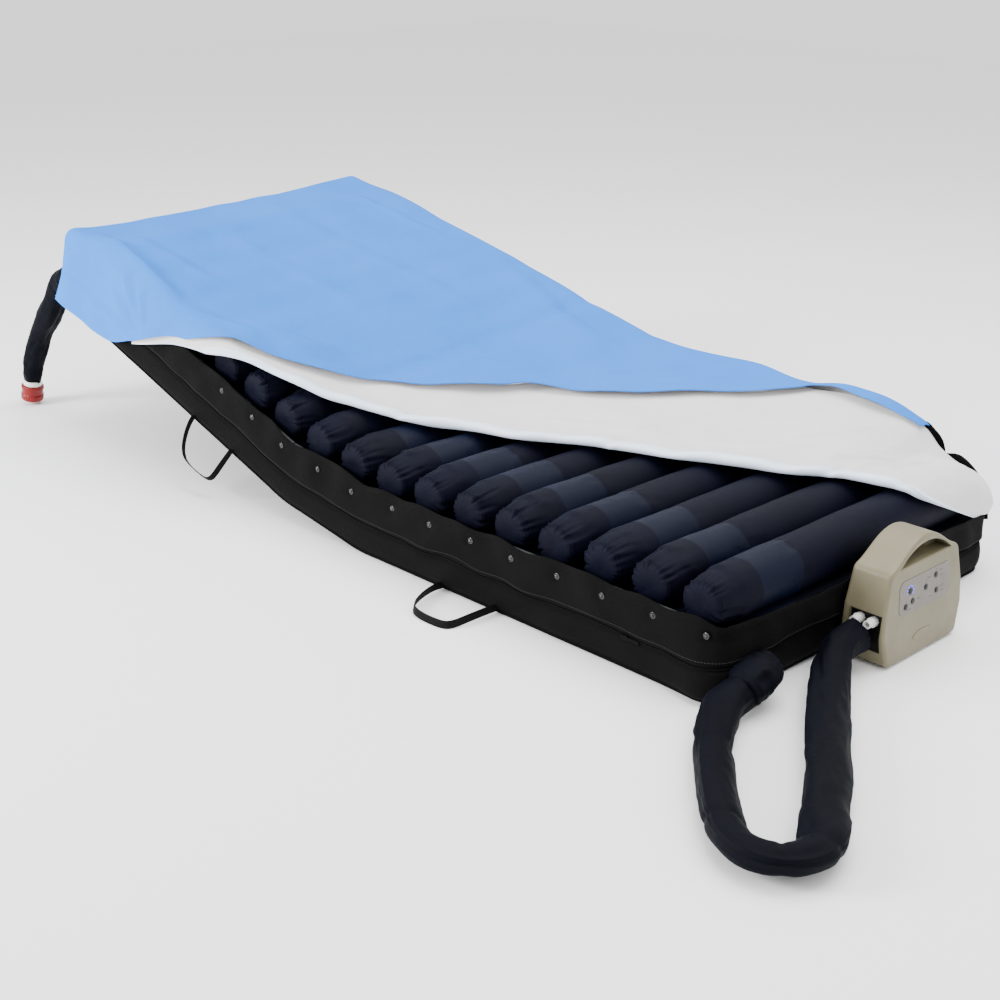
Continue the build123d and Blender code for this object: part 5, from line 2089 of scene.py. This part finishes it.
# ---------------- studio
@dataclass
class Studio:
    """Pale floor, soft light and the camera."""

    eye: Point = (1.828, -2.415, 1.283)
    azimuth: float = 0.8252
    elevation: float = 0.4052
    roll: float = 0.0042
    focal: float = 1.6072
    shift: tuple[float, float] = (0.0947, 0.0569)
    sky_strength: float = 1.4

    def camera(self) -> None:
        """Place the camera by its azimuth, elevation and roll."""
        a, e, roll = self.azimuth, self.elevation, self.roll
        back = Vector((math.sin(a) * math.cos(e), -math.cos(a) * math.cos(e), math.sin(e)))
        right = Vector((math.cos(a), math.sin(a), 0.0))
        up = back.cross(right)
        turned = math.cos(roll) * right + math.sin(roll) * up
        over = math.cos(roll) * up - math.sin(roll) * right
        data = bpy.data.cameras.new("camera")
        data.sensor_width = 36.0
        data.lens = 36.0 * self.focal
        data.shift_x, data.shift_y = self.shift
        eye = bpy.data.objects.new("camera", data)
        eye.matrix_world = Matrix(
            ((turned.x, over.x, back.x, self.eye[0]), (turned.y, over.y, back.y, self.eye[1]),
             (turned.z, over.z, back.z, self.eye[2]), (0, 0, 0, 1))
        )
        bpy.context.scene.collection.objects.link(eye)
        bpy.context.scene.camera = eye

    def light(self, name: str, place: Point, target: Point, size: float, power: float) -> None:
        """A square area light that faces a point.

        Args:
            name: object name.
            place: of the light.
            target: the point that it faces.
            size: length of its side.
            power: in watts.
        """
        data = bpy.data.lights.new(name, "AREA")
        data.size = size
        data.energy = power
        lamp = bpy.data.objects.new(name, data)
        lamp.location = place
        lamp.rotation_euler = (Vector(target) - Vector(place)).to_track_quat("-Z", "Y").to_euler()
        bpy.context.scene.collection.objects.link(lamp)

    def make(self) -> None:
        """Build the floor, the lights and the camera."""
        world = bpy.data.worlds.new("studio")
        world.use_nodes = True
        sky = world.node_tree.nodes["Background"]
        sky.inputs["Color"].default_value = (1.0, 1.0, 1.0, 1.0)
        sky.inputs["Strength"].default_value = self.sky_strength
        bpy.context.scene.world = world
        x = np.linspace(-9, 9, 19)
        grid = np.stack(np.meshgrid(x, x, [0.0], indexing="ij"), -1).reshape(19, 19, 3)
        floor = build("floor", grid.reshape(-1, 3), lattice(19, 19))
        s = Shading("floor_paper")
        s.set(Base_Color=srgb("fbfbfb"), Roughness=s.span(s.noise(2.0), 0.6, 0.75), Specular_IOR_Level=0.2)
        floor.data.materials.append(s.material)
        self.light("key", (-2.6, -3.9, 1.9), (-0.4, 0.0, 0.1), 1.6, 330.0)
        self.light("top", (0.2, 0.6, 3.6), (0.0, 0.0, 0.0), 3.5, 210.0)
        self.light("fill", (3.2, -0.8, 1.8), (0.2, 0.0, 0.1), 2.0, 8.0)
        self.camera()


def main() -> None:
    """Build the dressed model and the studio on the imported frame."""
    logging.basicConfig(level=logging.INFO, format="%(name)s: %(message)s")
    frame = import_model()
    wardrobe = Wardrobe()
    soft = [kind(wardrobe) for kind in (Sleeves, AirCells, BaseCover, TopCover)]
    for part in (Studio(), *soft, Pump(wardrobe, frame["nodes"])):
        known = set(bpy.data.objects.keys())
        part.make()
        for piece in bpy.data.objects:
            if piece.type == "MESH" and piece.name not in known:
                log.info("%s: %s, %d faces", type(part).__name__, piece.name, len(piece.data.polygons))


if __name__ == "__main__":
    main()
